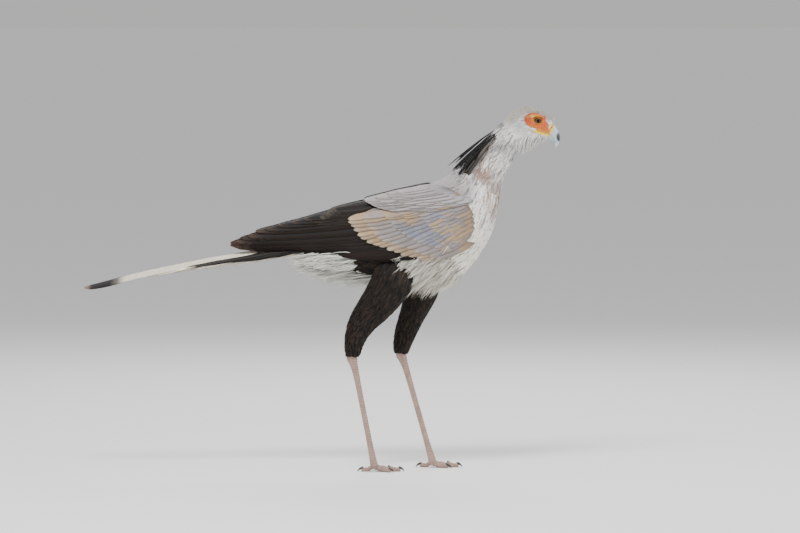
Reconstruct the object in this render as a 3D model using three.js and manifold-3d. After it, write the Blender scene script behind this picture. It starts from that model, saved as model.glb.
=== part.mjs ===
// A secretary bird standing in mid-stride, life size, in millimetres.
// +X is the way it faces, +Y its left side and +Z up. The origin is on the ground, under the
// middle of its bounding box.

import * as THREE from "three";
import { mergeVertices } from "three/addons/utils/BufferGeometryUtils.js";
import Module from "manifold-3d";

const wasm = await Module();
wasm.setup();
const { Manifold } = wasm;

// Driving dimensions
const GAP = 0.3; // left between two parts that touch
const ROOM = 0.42; // added to a neighbour's surface before it is cut away, for that gap
const HOCK_HEIGHT = 303; // where the feathered shin ends and the bare shank starts
const ANKLE_HEIGHT = 15; // of the middle of the toes' common root
const EYE_RADIUS = 9;
const VANE_THICKNESS = 1.1;

// The body's outline: each station has a point on the back line and one on the belly line,
// in side view, and half the breadth there. It runs from the tail's root to the bill's base.
const BODY = [
  { part: "tail root", top: [2, 612], low: [2, 546], half: 34 },
  { part: "rump", top: [62, 645], low: [62, 517], half: 48 },
  { part: "loin", top: [127, 680], low: [133, 504], half: 66 },
  { part: "flank", top: [192, 706], low: [205, 497], half: 80 },
  { part: "belly", top: [252, 730], low: [283, 491], half: 86 },
  { part: "breast", top: [299, 749], low: [351, 502], half: 86 },
  { part: "shoulder", top: [328, 763], low: [403, 554], half: 80 },
  { part: "crop", top: [343, 777], low: [439, 616], half: 68 },
  { part: "neck base", top: [359, 791], low: [455, 673], half: 53 },
  { part: "low neck", top: [377, 813], low: [464, 720], half: 40 },
  { part: "middle neck", top: [403, 838], low: [473, 759], half: 32 },
  { part: "high neck", top: [429, 860], low: [489, 790], half: 28 },
  { part: "nape", top: [452, 884], low: [505, 824], half: 26 },
  { part: "back of the head", top: [473, 906], low: [521, 845], half: 27 },
  { part: "ear", top: [494, 927], low: [538, 857], half: 29 },
  { part: "cheek", top: [516, 942], low: [555, 862], half: 31 },
  { part: "eye", top: [538, 947], low: [568, 865], half: 30 },
  { part: "brow", top: [562, 939], low: [580, 864], half: 25 },
  { part: "lores", top: [582, 928], low: [588, 867], half: 19 },
  { part: "bill base", top: [598, 920], low: [594, 876], half: 13 },
  { part: "forehead tuft", top: [606, 911], low: [600, 893], half: 8 },
];
const TAIL_CUT = 0.12; // where the outline is cut, counted in stations
const NECK_BASE_CUT = 7.6;
const MID_NECK_CUT = 10.1;
const HEAD_CUT = 12.8;

// The folded wings lie on this shell: at each distance along the bird, the height of its
// widest line, how far the shell rises above that line, and its half breadth there.
const SHELL = [
  { x: -245, middle: 580, rise: 34, half: 22 },
  { x: -132, middle: 600, rise: 43, half: 38 },
  { x: -42, middle: 610, rise: 56, half: 52 },
  { x: 36, middle: 606, rise: 84, half: 66 },
  { x: 101, middle: 604, rise: 104, half: 80 },
  { x: 166, middle: 606, rise: 118, half: 91 },
  { x: 231, middle: 612, rise: 127, half: 98 },
  { x: 296, middle: 624, rise: 134, half: 99 },
  { x: 348, middle: 640, rise: 132, half: 93 },
  { x: 387, middle: 652, rise: 118, half: 80 },
  { x: 425, middle: 656, rise: 100, half: 60 },
];
const SHELL_TUCK = 0.26; // how far the shell curls back in below its widest line

const UP = new THREE.Vector3(0, 0, 1);
const SIDE = new THREE.Vector3(0, 1, 0);
const v3 = (x, y, z) => new THREE.Vector3(x, y, z);
const lerp = THREE.MathUtils.lerp;
const clamp = THREE.MathUtils.clamp;
const smooth = (t) => THREE.MathUtils.smoothstep(t, 0, 1);

// Solids

// The signed volume of an indexed closed mesh, times six.
function signedVolume(position, index) {
  const [a, b, c] = [v3(), v3(), v3()];
  let sum = 0;
  for (let i = 0; i < index.length; i += 3) {
    a.fromBufferAttribute(position, index[i]);
    b.fromBufferAttribute(position, index[i + 1]);
    c.fromBufferAttribute(position, index[i + 2]);
    sum += a.dot(b.cross(c));
  }
  return sum;
}

// A closed geometry as a solid with its faces pointing out.
function solid(geometry) {
  const bare = new THREE.BufferGeometry();
  bare.setAttribute("position", geometry.getAttribute("position"));
  bare.setIndex(geometry.index);
  const merged = mergeVertices(bare, 1e-4);
  const all = Array.from(merged.index.array);
  const index = [];
  for (let i = 0; i < all.length; i += 3) {
    const [a, b, c] = all.slice(i, i + 3);
    if (a !== b && b !== c && a !== c) index.push(a, b, c);
  }
  if (signedVolume(merged.getAttribute("position"), index) < 0) index.reverse();
  const mesh = new wasm.Mesh({
    numProp: 3,
    vertProperties: new Float32Array(merged.getAttribute("position").array),
    triVerts: new Uint32Array(index),
  });
  return new Manifold(mesh);
}

const fuse = (pieces) => Manifold.union(pieces);

// The largest closed body of a solid, without slivers.
function largest(whole) {
  const bodies = whole.simplify(0.05).decompose();
  return bodies.reduce((a, b) => (b.volume() > a.volume() ? b : a));
}

function geometryOf(whole) {
  const { vertProperties, triVerts } = whole.getMesh();
  const geometry = new THREE.BufferGeometry();
  geometry.setAttribute("position", new THREE.BufferAttribute(vertProperties, 3));
  geometry.setIndex(new THREE.BufferAttribute(triVerts, 1));
  geometry.computeVertexNormals();
  return geometry;
}

// A value read from a list of numbers at a fractional place, along a smooth curve.
function readAt(values, place) {
  const last = values.length - 1;
  const i = clamp(Math.floor(place), 0, last - 1);
  const t = clamp(place - i, 0, 1);
  const [a, b, c, d] = [-1, 0, 1, 2].map((k) => values[clamp(i + k, 0, last)]);
  const slopeB = (c - a) / 2;
  const slopeC = (d - b) / 2;
  const rise = (c - b) * t * t * (3 - 2 * t);
  return b + rise + slopeB * t * (1 - t) ** 2 - slopeC * (1 - t) * t * t;
}

// A closed round body: section(t) gives its middle and its two half-axes from end to end.
function roundBody(section, rings, sides, grow = 0) {
  const geometry = new THREE.SphereGeometry(1, sides, rings + 1);
  const position = geometry.getAttribute("position");
  for (let row = 0; row <= rings + 1; row++) {
    const pole = row === 0 || row === rings + 1;
    const { middle, tall, wide } = section(clamp((row - 1) / (rings - 1), 0, 1));
    const outwards = (row <= 1 ? 1 : 0) - (row >= rings ? 1 : 0);
    middle.addScaledVector(tall.clone().cross(wide).normalize(), outwards * grow);
    for (let col = 0; col <= sides; col++) {
      const turn = (2 * Math.PI * (col % sides)) / sides;
      const point = middle.clone();
      if (!pole) {
        point.addScaledVector(tall, Math.cos(turn) * (1 + grow / tall.length()));
        point.addScaledVector(wide, Math.sin(turn) * (1 + grow / wide.length()));
      }
      position.setXYZ(row * (sides + 1) + col, point.x, point.y, point.z);
    }
  }
  return solid(geometry);
}

// A round limb through stations, each [x, y, z, half depth, half breadth].
function limb(stations, rings, sides, grow = 0) {
  const read = (k, place) => readAt(stations.map((s) => s[k]), place);
  const spine = (place) => v3(read(0, place), read(1, place), read(2, place));
  const last = stations.length - 1;
  const section = (t) => {
    const place = t * last;
    const along = spine(Math.min(place + 0.05, last)).sub(spine(Math.max(place - 0.05, 0)));
    const wide = SIDE.clone().projectOnPlane(along.normalize()).normalize();
    const tall = along.clone().cross(wide);
    return {
      middle: spine(place),
      tall: tall.multiplyScalar(read(3, place)),
      wide: wide.multiplyScalar(read(4, place)),
    };
  };
  return roundBody(section, rings, sides, grow);
}

// A closed thin sheet: at(t, u) gives a point on its middle surface, the normal there and half
// its thickness, for t from root to tip and u from -1 to 1 across. Both faces are split alike.
function sheet(rows, cols, at) {
  const points = [];
  for (const face of [1, -1])
    for (let i = 0; i <= rows; i++)
      for (let j = 0; j <= cols; j++) {
        const { point, normal, half } = at(i / rows, (2 * j) / cols - 1);
        points.push(...point.clone().addScaledVector(normal, face * half).toArray());
      }
  const index = [];
  const quad = (a, b, c, d) => index.push(a, b, c, a, c, d);
  const row = cols + 1;
  const under = (rows + 1) * row;
  for (let i = 0; i < rows; i++)
    for (let j = 0; j < cols; j++) {
      const a = i * row + j;
      const [b, c, d] = [a + 1, a + row + 1, a + row];
      quad(a, b, c, d);
      quad(a + under, d + under, c + under, b + under);
      if (j === 0) quad(a, d, d + under, a + under);
      if (j === cols - 1) quad(c, b, b + under, c + under);
      if (i === 0) quad(b, a, a + under, b + under);
      if (i === rows - 1) quad(d, c, c + under, d + under);
    }
  const geometry = new THREE.BufferGeometry();
  geometry.setAttribute("position", new THREE.Float32BufferAttribute(points, 3));
  geometry.setIndex(index);
  return solid(geometry);
}

// How wide a feather is along its length, from root to a rounded tip, as a share of the most.
function featherShape(t, rootShare = 0.5, tipShare = 0.3, shoulder = 0.7) {
  const base = lerp(rootShare, 1, smooth(Math.min(t / 0.45, 1)));
  if (t <= shoulder) return base;
  const s = (t - shoulder) / (1 - shoulder);
  return base * lerp(tipShare, 1, Math.sqrt(1 - s * s));
}

// A pointed lock: widest near its root, narrow at its tip.
const lockShape = (t) => lerp(1, 0.12, t ** 1.5) * lerp(0.8, 1, Math.min(4 * t, 1));

// Rows of a feather crowd towards its rounded tip.
const towardsTip = (t) => 1 - (1 - t) ** 1.4;

// A flat feather or lock along a bowed line in space, with its face looking along facing.
function plume(spec, grow = 0) {
  const { root, tip, bow, facing, half } = spec;
  const { thick = VANE_THICKNESS, rows = 2, cols = 1, shape = featherShape, camber = 0 } = spec;
  const middle = root.clone().lerp(tip, 0.5).add(bow);
  const curve = new THREE.QuadraticBezierCurve3(root, middle, tip);
  return sheet(rows, cols, (raw, u) => {
    const t = towardsTip(raw);
    const along = curve.getTangent(t);
    const across = facing.clone().cross(along).normalize();
    const normal = along.clone().cross(across).normalize();
    const reach = half * shape(t) + grow;
    const point = curve.getPoint(t).addScaledVector(across, u * reach);
    point.addScaledVector(normal, -camber * half * u * u);
    if (raw === 0 || raw === 1) point.addScaledVector(along, raw === 1 ? grow : -grow);
    const thin = raw === 1 ? 0.45 : 1;
    return { point, normal, half: (thick * thin) / 2 + grow };
  });
}

// The section of a body of the middle plane, read at a fractional place among its stations.
function sectionAt(stations, place) {
  const read = (pick) => readAt(stations.map(pick), place);
  const top = v3(read((s) => s.top[0]), 0, read((s) => s.top[1]));
  const low = v3(read((s) => s.low[0]), 0, read((s) => s.low[1]));
  return {
    middle: top.clone().add(low).multiplyScalar(0.5),
    tall: top.sub(low).multiplyScalar(0.5),
    wide: SIDE.clone().multiplyScalar(read((s) => s.half)),
  };
}

const profile = (stations) => (t) => sectionAt(stations, t * (stations.length - 1));

// The body

const bodyAt = (place) => sectionAt(BODY, place);
const wholeBody = (grow = 0) => roundBody(profile(BODY), 38, 16, grow);

// A point on the body's surface and the normal there: turn is 0 on the back, 180 on the belly.
function onBody(place, turn) {
  const a = THREE.MathUtils.degToRad(turn);
  const { middle, tall, wide } = bodyAt(place);
  const point = middle.addScaledVector(tall, Math.cos(a)).addScaledVector(wide, Math.sin(a));
  const normal = tall.clone().multiplyScalar(Math.cos(a) / tall.lengthSq());
  normal.addScaledVector(wide, Math.sin(a) / wide.lengthSq());
  return { point, normal: normal.normalize() };
}

// Cuts a solid square across the body at a place, and keeps the part towards the head or tail.
function cutBody(whole, place, towardsHead) {
  const { middle, tall } = bodyAt(place);
  const ahead = tall.clone().cross(SIDE).normalize();
  if (ahead.x < 0) ahead.negate();
  const normal = ahead.multiplyScalar(towardsHead ? 1 : -1);
  return whole.trimByPlane(normal.toArray(), normal.dot(middle) + GAP / 2);
}

const bodyBetween = (whole, from, to) => {
  const rear = from === null ? whole : cutBody(whole, from, true);
  return to === null ? rear : cutBody(rear, to, false);
};

// Locks of soft feathers in rows along the body: each hangs from its place towards a direction.
function bodyLocks(spec, grow = 0) {
  const { from, to, rows, turns, length, half, droop, spread, facing } = spec;
  const locks = [];
  for (let i = 0; i < rows; i++)
    turns.forEach((turn, j) => {
      const share = rows > 1 ? i / (rows - 1) : 0;
      const stagger = (j % 2) * 0.5 * ((to - from) / Math.max(rows - 1, 1));
      const { point, normal } = onBody(lerp(from, to, share) + stagger, turn);
      const run = length * (1 + 0.16 * Math.sin(2.4 * i + 1.7 * j));
      const lie = droop.clone().projectOnPlane(normal).normalize();
      const root = point.clone().addScaledVector(normal, -3).addScaledVector(lie, -0.1 * run);
      const tip = point.clone().addScaledVector(lie, run).addScaledVector(normal, spread);
      const bow = normal.clone().multiplyScalar(0.18 * run);
      const face = facing ? v3(facing.x, Math.sign(normal.y) * facing.y, facing.z) : normal;
      locks.push(plume({ root, tip, bow, facing: face, half, shape: lockShape }, grow));
    });
  return locks;
}

const mirrored = (turns) => [...turns, ...turns.map((turn) => 360 - turn)];

const bellyLocks = (grow) => [
  ...bodyLocks({
    from: 4.1, to: 6.1, rows: 3, turns: mirrored([125, 163]), length: 58, half: 20,
    droop: v3(-1, 0, -0.75), spread: 7,
  }, grow),
];

const ventLocks = (grow) => [
  ...bodyLocks({
    from: 1.1, to: 1.9, rows: 2, turns: mirrored([134, 168]), length: 96, half: 17,
    droop: v3(-1, 0, 0.02), spread: 3,
  }, grow),
];

// The beard of soft feathers that hangs from the chin and throat.
const beardLocks = (grow) => [
  ...bodyLocks({
    from: 13.3, to: 17, rows: 3, turns: mirrored([140, 168]), length: 26, half: 7,
    droop: v3(-0.35, 0, -1), spread: 12, facing: v3(0.2, 1, 0),
  }, grow),
];

// The crest: long quills from the nape that widen to spatulate tips, upper ones along the
// middle and lower ones down the sides of the neck.
const CREST_PAIRS = 7;
const crestShape = (t) => lerp(0.36, 1, smooth(clamp((t - 0.2) / 0.5, 0, 1))) * (t > 0.93 ? 0.5 : 1);

function crestFeathers(grow) {
  const quills = [];
  for (const side of [1, -1])
    for (let i = 0; i < CREST_PAIRS; i++) {
      const s = i / (CREST_PAIRS - 1);
      const shorter = [0, 0.2, 0.05, 0.28, 0.1, 0.32, 0.02, 0.2][i];
      const turn = side * lerp(5, 62, s);
      const { point, normal } = onBody(12.35 - 0.5 * (i % 3) * 0.5, turn);
      const end = v3(lerp(330, 360, s), side * lerp(7, 58, s), lerp(792, 760, s));
      const root = point.clone().addScaledVector(normal, -4);
      const tip = end.lerp(root, shorter);
      const bow = normal.clone().multiplyScalar(lerp(13, 17, s));
      const facing = v3(-0.5, side * lerp(0.1, 1.1, s), 0.8).normalize();
      quills.push(
        plume({ root, tip, bow, facing, half: 5.5, rows: 3, shape: crestShape, thick: 1.3 }, grow),
      );
    }
  return quills;
}

// The wings

// The shell that a folded wing lies on: the distance from the middle plane at x and z.
function shellAt(x, z) {
  const last = SHELL.length - 1;
  const after = SHELL.findIndex((s) => s.x >= x);
  const i = after < 0 ? last - 1 : clamp(after - 1, 0, last - 1);
  const place = i + clamp((x - SHELL[i].x) / (SHELL[i + 1].x - SHELL[i].x), 0, 1);
  const read = (key) => readAt(SHELL.map((s) => s[key]), place);
  const q = clamp((z - read("middle")) / read("rise"), -1.3, 0.975);
  const profile = q > 0 ? Math.sqrt(1 - q * q) : 1 - SHELL_TUCK * q * q;
  return read("half") * profile;
}

function shellNormal(x, z) {
  const step = 2;
  const dx = (shellAt(x + step, z) - shellAt(x - step, z)) / (2 * step);
  const dz = (shellAt(x, z + step) - shellAt(x, z - step)) / (2 * step);
  return v3(-dx, 1, -dz).normalize();
}

// A point lifted off the wing's shell, on the left side or, mirrored, the right.
function onWing(x, z, lift, side) {
  const normal = shellNormal(x, z);
  const point = v3(x, shellAt(x, z), z).addScaledVector(normal, lift);
  point.y *= side;
  normal.y *= side;
  return { point, normal };
}

// A feather that lies on the folded wing, from root to tip in side view. Its root is sunk, its
// tip lifted, and its lower edge stands over the next feather down.
function wingVane(spec, side, grow) {
  const { root, tip, bow = 0, half, lift, sunk = 5, rows = 2, cols = 1, bed = 0 } = spec;
  const { thick = VANE_THICKNESS, shingle = 1.2, rootShare = 0.6, tipShare = 0.42 } = spec;
  const line = new THREE.Vector2().subVectors(tip, root);
  const run = line.length();
  const along = line.divideScalar(run);
  const across = new THREE.Vector2(-along.y, along.x).multiplyScalar(along.x < 0 ? -1 : 1);
  return sheet(rows, cols, (raw, u) => {
    const t = towardsTip(raw);
    const far = t * run + (raw === 1 ? grow : raw === 0 ? -grow : 0);
    const off = u * (half * featherShape(t, rootShare, tipShare) + grow);
    const flat = root.clone().addScaledVector(along, far);
    flat.addScaledVector(across, off + 4 * bow * t * (1 - t));
    const top = lerp(-sunk, lift, smooth(Math.min(t / 0.3, 1))) - shingle * u + thick / 2;
    const low = bed ? Math.min(-bed, top - thick) : top - thick * (raw === 1 ? 0.5 : 1);
    const { point, normal } = onWing(flat.x, flat.y, (top + low) / 2, side);
    return { point, normal, half: (top - low) / 2 + grow };
  });
}

const flat = (x, z) => new THREE.Vector2(x, z);

// A row of wing feathers. tips is the line their tips stand on and roots the line of their roots,
// each through a few points from the top of the wing down, and count is how many there are.
function vaneRow({ tips, roots, count, ...rest }, side, grow) {
  const line = (points, s) =>
    flat(
      readAt(points.map((p) => p[0]), s * (points.length - 1)),
      readAt(points.map((p) => p[1]), s * (points.length - 1)),
    );
  return Array.from({ length: count }, (_, i) => {
    const s = i / (count - 1);
    const own = { ...rest, root: line(roots, s), tip: line(tips, s) };
    own.lift = rest.lift + (rest.fan ?? 0) * s;
    return wingVane(own, side, grow);
  });
}

// Flight feathers: tertials at the top, primaries out to the tip, secondaries below.
const FLIGHT = {
  count: 8, half: 19, lift: -2.5, fan: -5.5, rows: 3, cols: 2, sunk: 8, shingle: 2.4,
  rootShare: 0.8, tipShare: 0.3,
  roots: [[146, 690], [160, 672], [178, 655], [198, 639], [218, 624], [238, 609], [256, 595],
    [272, 583], [286, 572], [300, 563]],
  tips: [[-45, 655], [-108, 642], [-160, 627], [-200, 611], [-226, 597], [-238, 586],
    [-205, 577], [-120, 572], [-10, 567], [100, 560]],
};
const GREATER_COVERTS = {
  count: 7, half: 23, lift: 1.6, sunk: 7, shingle: 1.3, bed: 6,
  roots: [[215, 682], [225, 665], [248, 655], [285, 642], [330, 625], [372, 606]],
  tips: [[70, 650], [88, 626], [112, 600], [160, 584], [212, 566], [262, 555]],
};
const MEDIAN_COVERTS = {
  count: 5, half: 22, lift: 3.4, sunk: 6, shingle: 1.2, bed: 6,
  roots: [[270, 684], [290, 672], [318, 662], [350, 648], [385, 625]],
  tips: [[170, 660], [192, 630], [230, 606], [275, 592], [318, 578]],
};
const LESSER_COVERTS = {
  count: 4, half: 22, lift: 4.8, sunk: 5, shingle: 1, bed: 6,
  roots: [[330, 690], [350, 680], [372, 668], [392, 656], [410, 636]],
  tips: [[255, 668], [280, 640], [312, 618], [340, 606], [368, 594]],
};
const SCAPULARS = {
  count: 5, half: 18, lift: 4.4, sunk: 6, shingle: 1.2, bed: 6,
  roots: [[235, 722], [258, 716], [285, 706], [312, 698], [345, 694]],
  tips: [[113, 702], [128, 692], [160, 684], [200, 680], [262, 682]],
};
const SHOULDER_FEATHERS = {
  count: 3, half: 18, lift: 6, sunk: 5, shingle: 1, bed: 6,
  roots: [[318, 744], [342, 732], [364, 718], [384, 704]],
  tips: [[212, 720], [240, 708], [272, 698], [300, 694]],
};

// The wing's own body, which the feathers stand in: a curved slab between an upper and a lower
// edge, thick at the shoulder and thin at the rear.
const WING_FRONT = 420;
const WING_REAR = 60;
const WING_TOP = [[60, 684], [130, 708], [220, 728], [300, 738], [370, 724], [420, 690]];
const WING_BOTTOM = [[60, 598], [130, 580], [220, 572], [300, 580], [370, 596], [420, 634]];

function heightOn(points, x) {
  const after = points.findIndex((p) => p[0] >= x);
  const i = clamp((after < 0 ? points.length : after) - 1, 0, points.length - 2);
  const share = (x - points[i][0]) / (points[i + 1][0] - points[i][0]);
  return readAt(points.map((p) => p[1]), i + clamp(share, 0, 1));
}

function wingCore(side, grow) {
  return sheet(8, 4, (t, u) => {
    const x = lerp(WING_FRONT, WING_REAR, t);
    const share = (u + 1) / 2;
    const z = lerp(heightOn(WING_BOTTOM, x), heightOn(WING_TOP, x), share);
    const depth = lerp(26, 7, smooth(t)) * lerp(0.3, 1, Math.sqrt(1 - Math.abs(u) ** 3));
    const { point, normal } = onWing(x, z, -1.5 - depth / 2, side);
    return { point, normal, half: depth / 2 + grow };
  });
}

const wingPieces = (side, grow = 0) => [
  wingCore(side, grow),
  ...vaneRow(FLIGHT, side, grow),
  ...vaneRow(GREATER_COVERTS, side, grow),
  ...vaneRow(MEDIAN_COVERTS, side, grow),
  ...vaneRow(LESSER_COVERTS, side, grow),
  ...vaneRow(SCAPULARS, side, grow),
  ...vaneRow(SHOULDER_FEATHERS, side, grow),
];

// The tail

const TAIL_TILT = 27; // how far each feather's outer edge leans down, in degrees
const TAIL_LINE = [[-12, 594], [-160, 568], [-305, 543], [-460, 511], [-617, 476]];
const TAIL_PAIRS = [
  // how far back each pair reaches and its half breadth, from the long middle pair out
  { end: -617, half: 17, rows: 5 },
  { end: -448, half: 20, rows: 4 },
  { end: -352, half: 21, rows: 3 },
  { end: -290, half: 21, rows: 3 },
  { end: -236, half: 21, rows: 3 },
  { end: -182, half: 20, rows: 3 },
];
const TAIL_STEP = 2.9; // each pair lies this far under the last

function tailFeathers(grow) {
  const tilt = THREE.MathUtils.degToRad(TAIL_TILT);
  return TAIL_PAIRS.flatMap(({ end, half, rows }, i) =>
    [1, -1].map((side) =>
      sheet(rows, 2, (raw, u) => {
        const t = towardsTip(raw);
        const far = raw === 1 ? -grow : raw === 0 ? grow : 0;
        const x = lerp(TAIL_LINE[0][0], end, t);
        const z = heightOn([...TAIL_LINE].reverse(), x) - TAIL_STEP * i;
        const widen = lerp(0.6, 1, smooth(Math.min(t / 0.3, 1)));
        const reach = half * featherShape(t, 0.6, 0.3, 0.8);
        const off = half * Math.cos(tilt) * widen + 0.7 + 2.2 * i;
        const across = v3(0, side * Math.cos(tilt), -Math.sin(tilt));
        const normal = v3(0, side * Math.sin(tilt), Math.cos(tilt));
        const point = v3(x + far, side * off, z).addScaledVector(across, u * (reach + grow));
        return { point, normal, half: (raw === 1 ? 0.5 : 1) * 0.6 + grow };
      }),
    ),
  );
}

const tailCore = (grow) =>
  limb(
    [
      [16, 0, 581, 25, 33],
      [-14, 0, 578, 19, 32],
      [-50, 0, 573, 12.5, 27],
      [-92, 0, 568, 6, 18],
    ],
    8, 14, grow,
  );

// The legs

const HOCK_X = { right: 82, left: 209 };
const FOOT_X = { right: 138, left: 290 };
const LEG_Y = 54;
const THIGHS = {
  right: [
    [203, 52, 534, 42, 25],
    [190, 56, 504, 49, 33],
    [169, 57, 467, 46, 33],
    [143, 57, 431, 41, 29],
    [116, 56, 398, 34, 24],
    [97, 55, 367, 28, 20],
    [87, 54, 337, 22, 17],
    [83, 54, 311, 17, 14],
    [82, 54, 295, 13, 12],
  ],
  left: [
    [268, 50, 525, 38, 25],
    [268, 54, 494, 42, 32],
    [261, 56, 460, 39, 31],
    [248, 56, 424, 33, 27],
    [234, 56, 390, 28, 23],
    [222, 55, 359, 25, 20],
    [213, 54, 330, 21, 17],
    [209, 54, 309, 17, 14],
    [208, 54, 295, 13, 12],
  ],
};

const mirrorY = (stations, side) => stations.map(([x, y, ...rest]) => [x, side * y, ...rest]);

// Shaggy feathers down the back and sides of a shin, and round its end at the hock.
function shinLocks(name, side, grow) {
  const stations = mirrorY(THIGHS[name], side);
  const locks = [];
  const read = (k, place) => readAt(stations.map((s) => s[k]), place);
  for (let i = 0; i < 4; i++)
    [-110, 0, 110].forEach((turn, j) => {
      const place = 2.1 + 1.25 * i + (j % 2) * 0.5;
      const a = THREE.MathUtils.degToRad(turn);
      const out = v3(-Math.cos(a), Math.sin(a), -0.2).normalize();
      const centre = v3(read(0, place), read(1, place), read(2, place));
      const ahead = v3(read(0, place + 0.6), read(1, place + 0.6), read(2, place + 0.6));
      const lie = ahead.sub(centre).normalize();
      const side0 = v3(-Math.cos(a) * read(3, place), Math.sin(a) * read(4, place), 0);
      side0.projectOnPlane(lie);
      const run = lerp(44, 26, i / 3) * (1 + 0.15 * Math.sin(3 * i + 2 * j));
      const root = centre.clone().addScaledVector(side0, 0.9);
      const tip = root.clone().addScaledVector(lie, run).addScaledVector(out, 5);
      const bow = out.clone().multiplyScalar(5);
      locks.push(plume({ root, tip, bow, facing: out, half: 10 - i, shape: lockShape }, grow));
    });
  return locks;
}

// The bare shank and the knuckle that the toes grow from.
function shankPieces(name, side, grow = 0) {
  const [hock, foot] = [HOCK_X[name], FOOT_X[name]];
  const at = (share, deep, wide, back = 0) => [
    lerp(hock, foot, share) - back,
    side * lerp(LEG_Y, LEG_Y - 2, share),
    lerp(HOCK_HEIGHT - 2, ANKLE_HEIGHT, share),
    deep,
    wide,
  ];
  const shank = limb(
    [
      at(-0.045, 9, 9),
      at(-0.015, 12, 10.5, 2),
      at(0.03, 13.5, 11, 2.5),
      at(0.09, 10, 8.5, 1),
      at(0.2, 8, 7),
      at(0.5, 7.2, 6.2),
      at(0.8, 7.6, 6.8),
      at(0.93, 9, 9.5),
      at(1, 10, 12),
      at(1.025, 8, 10),
    ],
    15, 8, grow,
  );
  return [shank];
}

// Toes, each with its heading in degrees from straight ahead, outwards positive.
const TOES = {
  inner_toe: { heading: -30, length: 44, thick: 6.2, claw: 19 },
  middle_toe: { heading: 3, length: 66, thick: 6.6, claw: 18 },
  outer_toe: { heading: 34, length: 50, thick: 6, claw: 16 },
  hind_toe: { heading: 172, length: 30, thick: 5.6, claw: 19 },
};

function toePath(name, side, spec) {
  const turn = THREE.MathUtils.degToRad(spec.heading);
  const ahead = v3(Math.cos(turn), side * Math.sin(turn), 0);
  const start = v3(FOOT_X[name], side * (LEG_Y - 2), 0).addScaledVector(ahead, 3);
  return { ahead, start };
}

function toe(name, side, spec, grow = 0) {
  const { ahead, start } = toePath(name, side, spec);
  const { length, thick } = spec;
  const knuckles = 3;
  const rings = 2 * knuckles + 1;
  const across = UP.clone().cross(ahead);
  const section = (t) => {
    const pad = 1 + 0.1 * Math.cos(2 * Math.PI * knuckles * t);
    const radius = thick * lerp(1.15, 0.74, t) * pad * (t > 0.999 ? 0.7 : 1);
    const height = lerp(ANKLE_HEIGHT - 4, radius * 0.86, smooth(Math.min(t / 0.4, 1)));
    return {
      middle: start.clone().addScaledVector(ahead, t * length).add(v3(0, 0, height)),
      tall: UP.clone().multiplyScalar(radius),
      wide: across.clone().multiplyScalar(radius * 1.05),
    };
  };
  return roundBody(section, rings, 8, grow).trimByPlane([0, 0, 1], -grow);
}

function claw(name, side, spec) {
  const { ahead, start } = toePath(name, side, spec);
  const across = UP.clone().cross(ahead);
  const curl = THREE.MathUtils.degToRad(64);
  const radius = spec.claw / curl;
  const base = start.clone().addScaledVector(ahead, spec.length - 5);
  const section = (t) => {
    const a = t * curl;
    const far = radius * Math.sin(a);
    const fall = radius * (1 - Math.cos(a));
    const thick = lerp(4.1, 0.8, t ** 1.2);
    const along = ahead.clone().multiplyScalar(Math.cos(a)).add(v3(0, 0, -Math.sin(a)));
    return {
      middle: base.clone().addScaledVector(ahead, far).add(v3(0, 0, 9.4 - fall)),
      tall: along.cross(across).normalize().multiplyScalar(-thick),
      wide: across.clone().multiplyScalar(thick * 0.8),
    };
  };
  return roundBody(section, 5, 6).trimByPlane([0, 0, 1], 0);
}

// The head: eyes, lids, bare face and bill

const EYE = { x: 561, y: 21.5, z: 908 };
const ball = (centre, radius, detail = 16) => {
  const geometry = new THREE.SphereGeometry(radius, detail, detail / 2);
  geometry.rotateX(Math.PI / 2);
  return solid(geometry.translate(centre.x, centre.y, centre.z));
};

// An upright oval column through the head from side to side, in side view.
function ovalColumn({ x, z, long, high, tilt, near, far }) {
  const geometry = new THREE.CylinderGeometry(1, 1, far - near, 14, 1);
  geometry.scale(long, 1, high);
  geometry.rotateY(THREE.MathUtils.degToRad(tilt));
  return solid(geometry.translate(x, (near + far) / 2, z));
}

// The bare orange skin round an eye, with the two lids.
function faceSkin(side) {
  const eye = v3(EYE.x, side * EYE.y, EYE.z);
  const [near, far] = side > 0 ? [8, 60] : [-60, -8];
  const patch = fuse([
    ovalColumn({ x: 556, z: 909, long: 29, high: 20, tilt: 12, near, far }),
    ovalColumn({ x: 575, z: 898, long: 21, high: 13, tilt: 32, near, far }),
  ]);
  const skin = wholeBody(1.6).intersect(patch);
  const lids = ball(eye, EYE_RADIUS + 1.6, 12);
  const slit = ovalColumn({ x: EYE.x, z: EYE.z - 0.3, long: 8, high: 6.2, tilt: 10, near, far });
  return fuse([skin, lids])
    .subtract(wholeBody(ROOM))
    .subtract(ball(eye, EYE_RADIUS + GAP, 12))
    .subtract(slit);
}

// Stations along the bill: a point on its upper line, one on its lower line, half the breadth.
const UPPER_BILL = [
  { top: [592, 915], low: [570, 876], half: 12.5 },
  { top: [604.5, 901], low: [585, 871], half: 11.5 },
  { top: [612.5, 889], low: [595.4, 865.3], half: 10 },
  { top: [618.3, 878], low: [602.2, 859], half: 8 },
  { top: [621.1, 866], low: [606.3, 853.3], half: 6 },
  { top: [620.4, 854], low: [608.4, 848.1], half: 4 },
  { top: [615.7, 844.2], low: [609, 842.9], half: 2.4 },
  { top: [610, 837.6], low: [608.4, 837.8], half: 0.9 },
];
const LOWER_BILL = [
  { top: [566, 884], low: [560, 868], half: 13 },
  { top: [580, 878], low: [574.5, 864], half: 12 },
  { top: [594, 870], low: [588, 859], half: 9.5 },
  { top: [602, 863], low: [596.5, 855.5], half: 7 },
  { top: [607, 857], low: [603, 850.5], half: 4.2 },
  { top: [607.6, 850.6], low: [606.2, 848.6], half: 1.8 },
];
const CERE_FRONT = v3(600.5, 0, 884); // a point on the line between cere and horn
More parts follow.
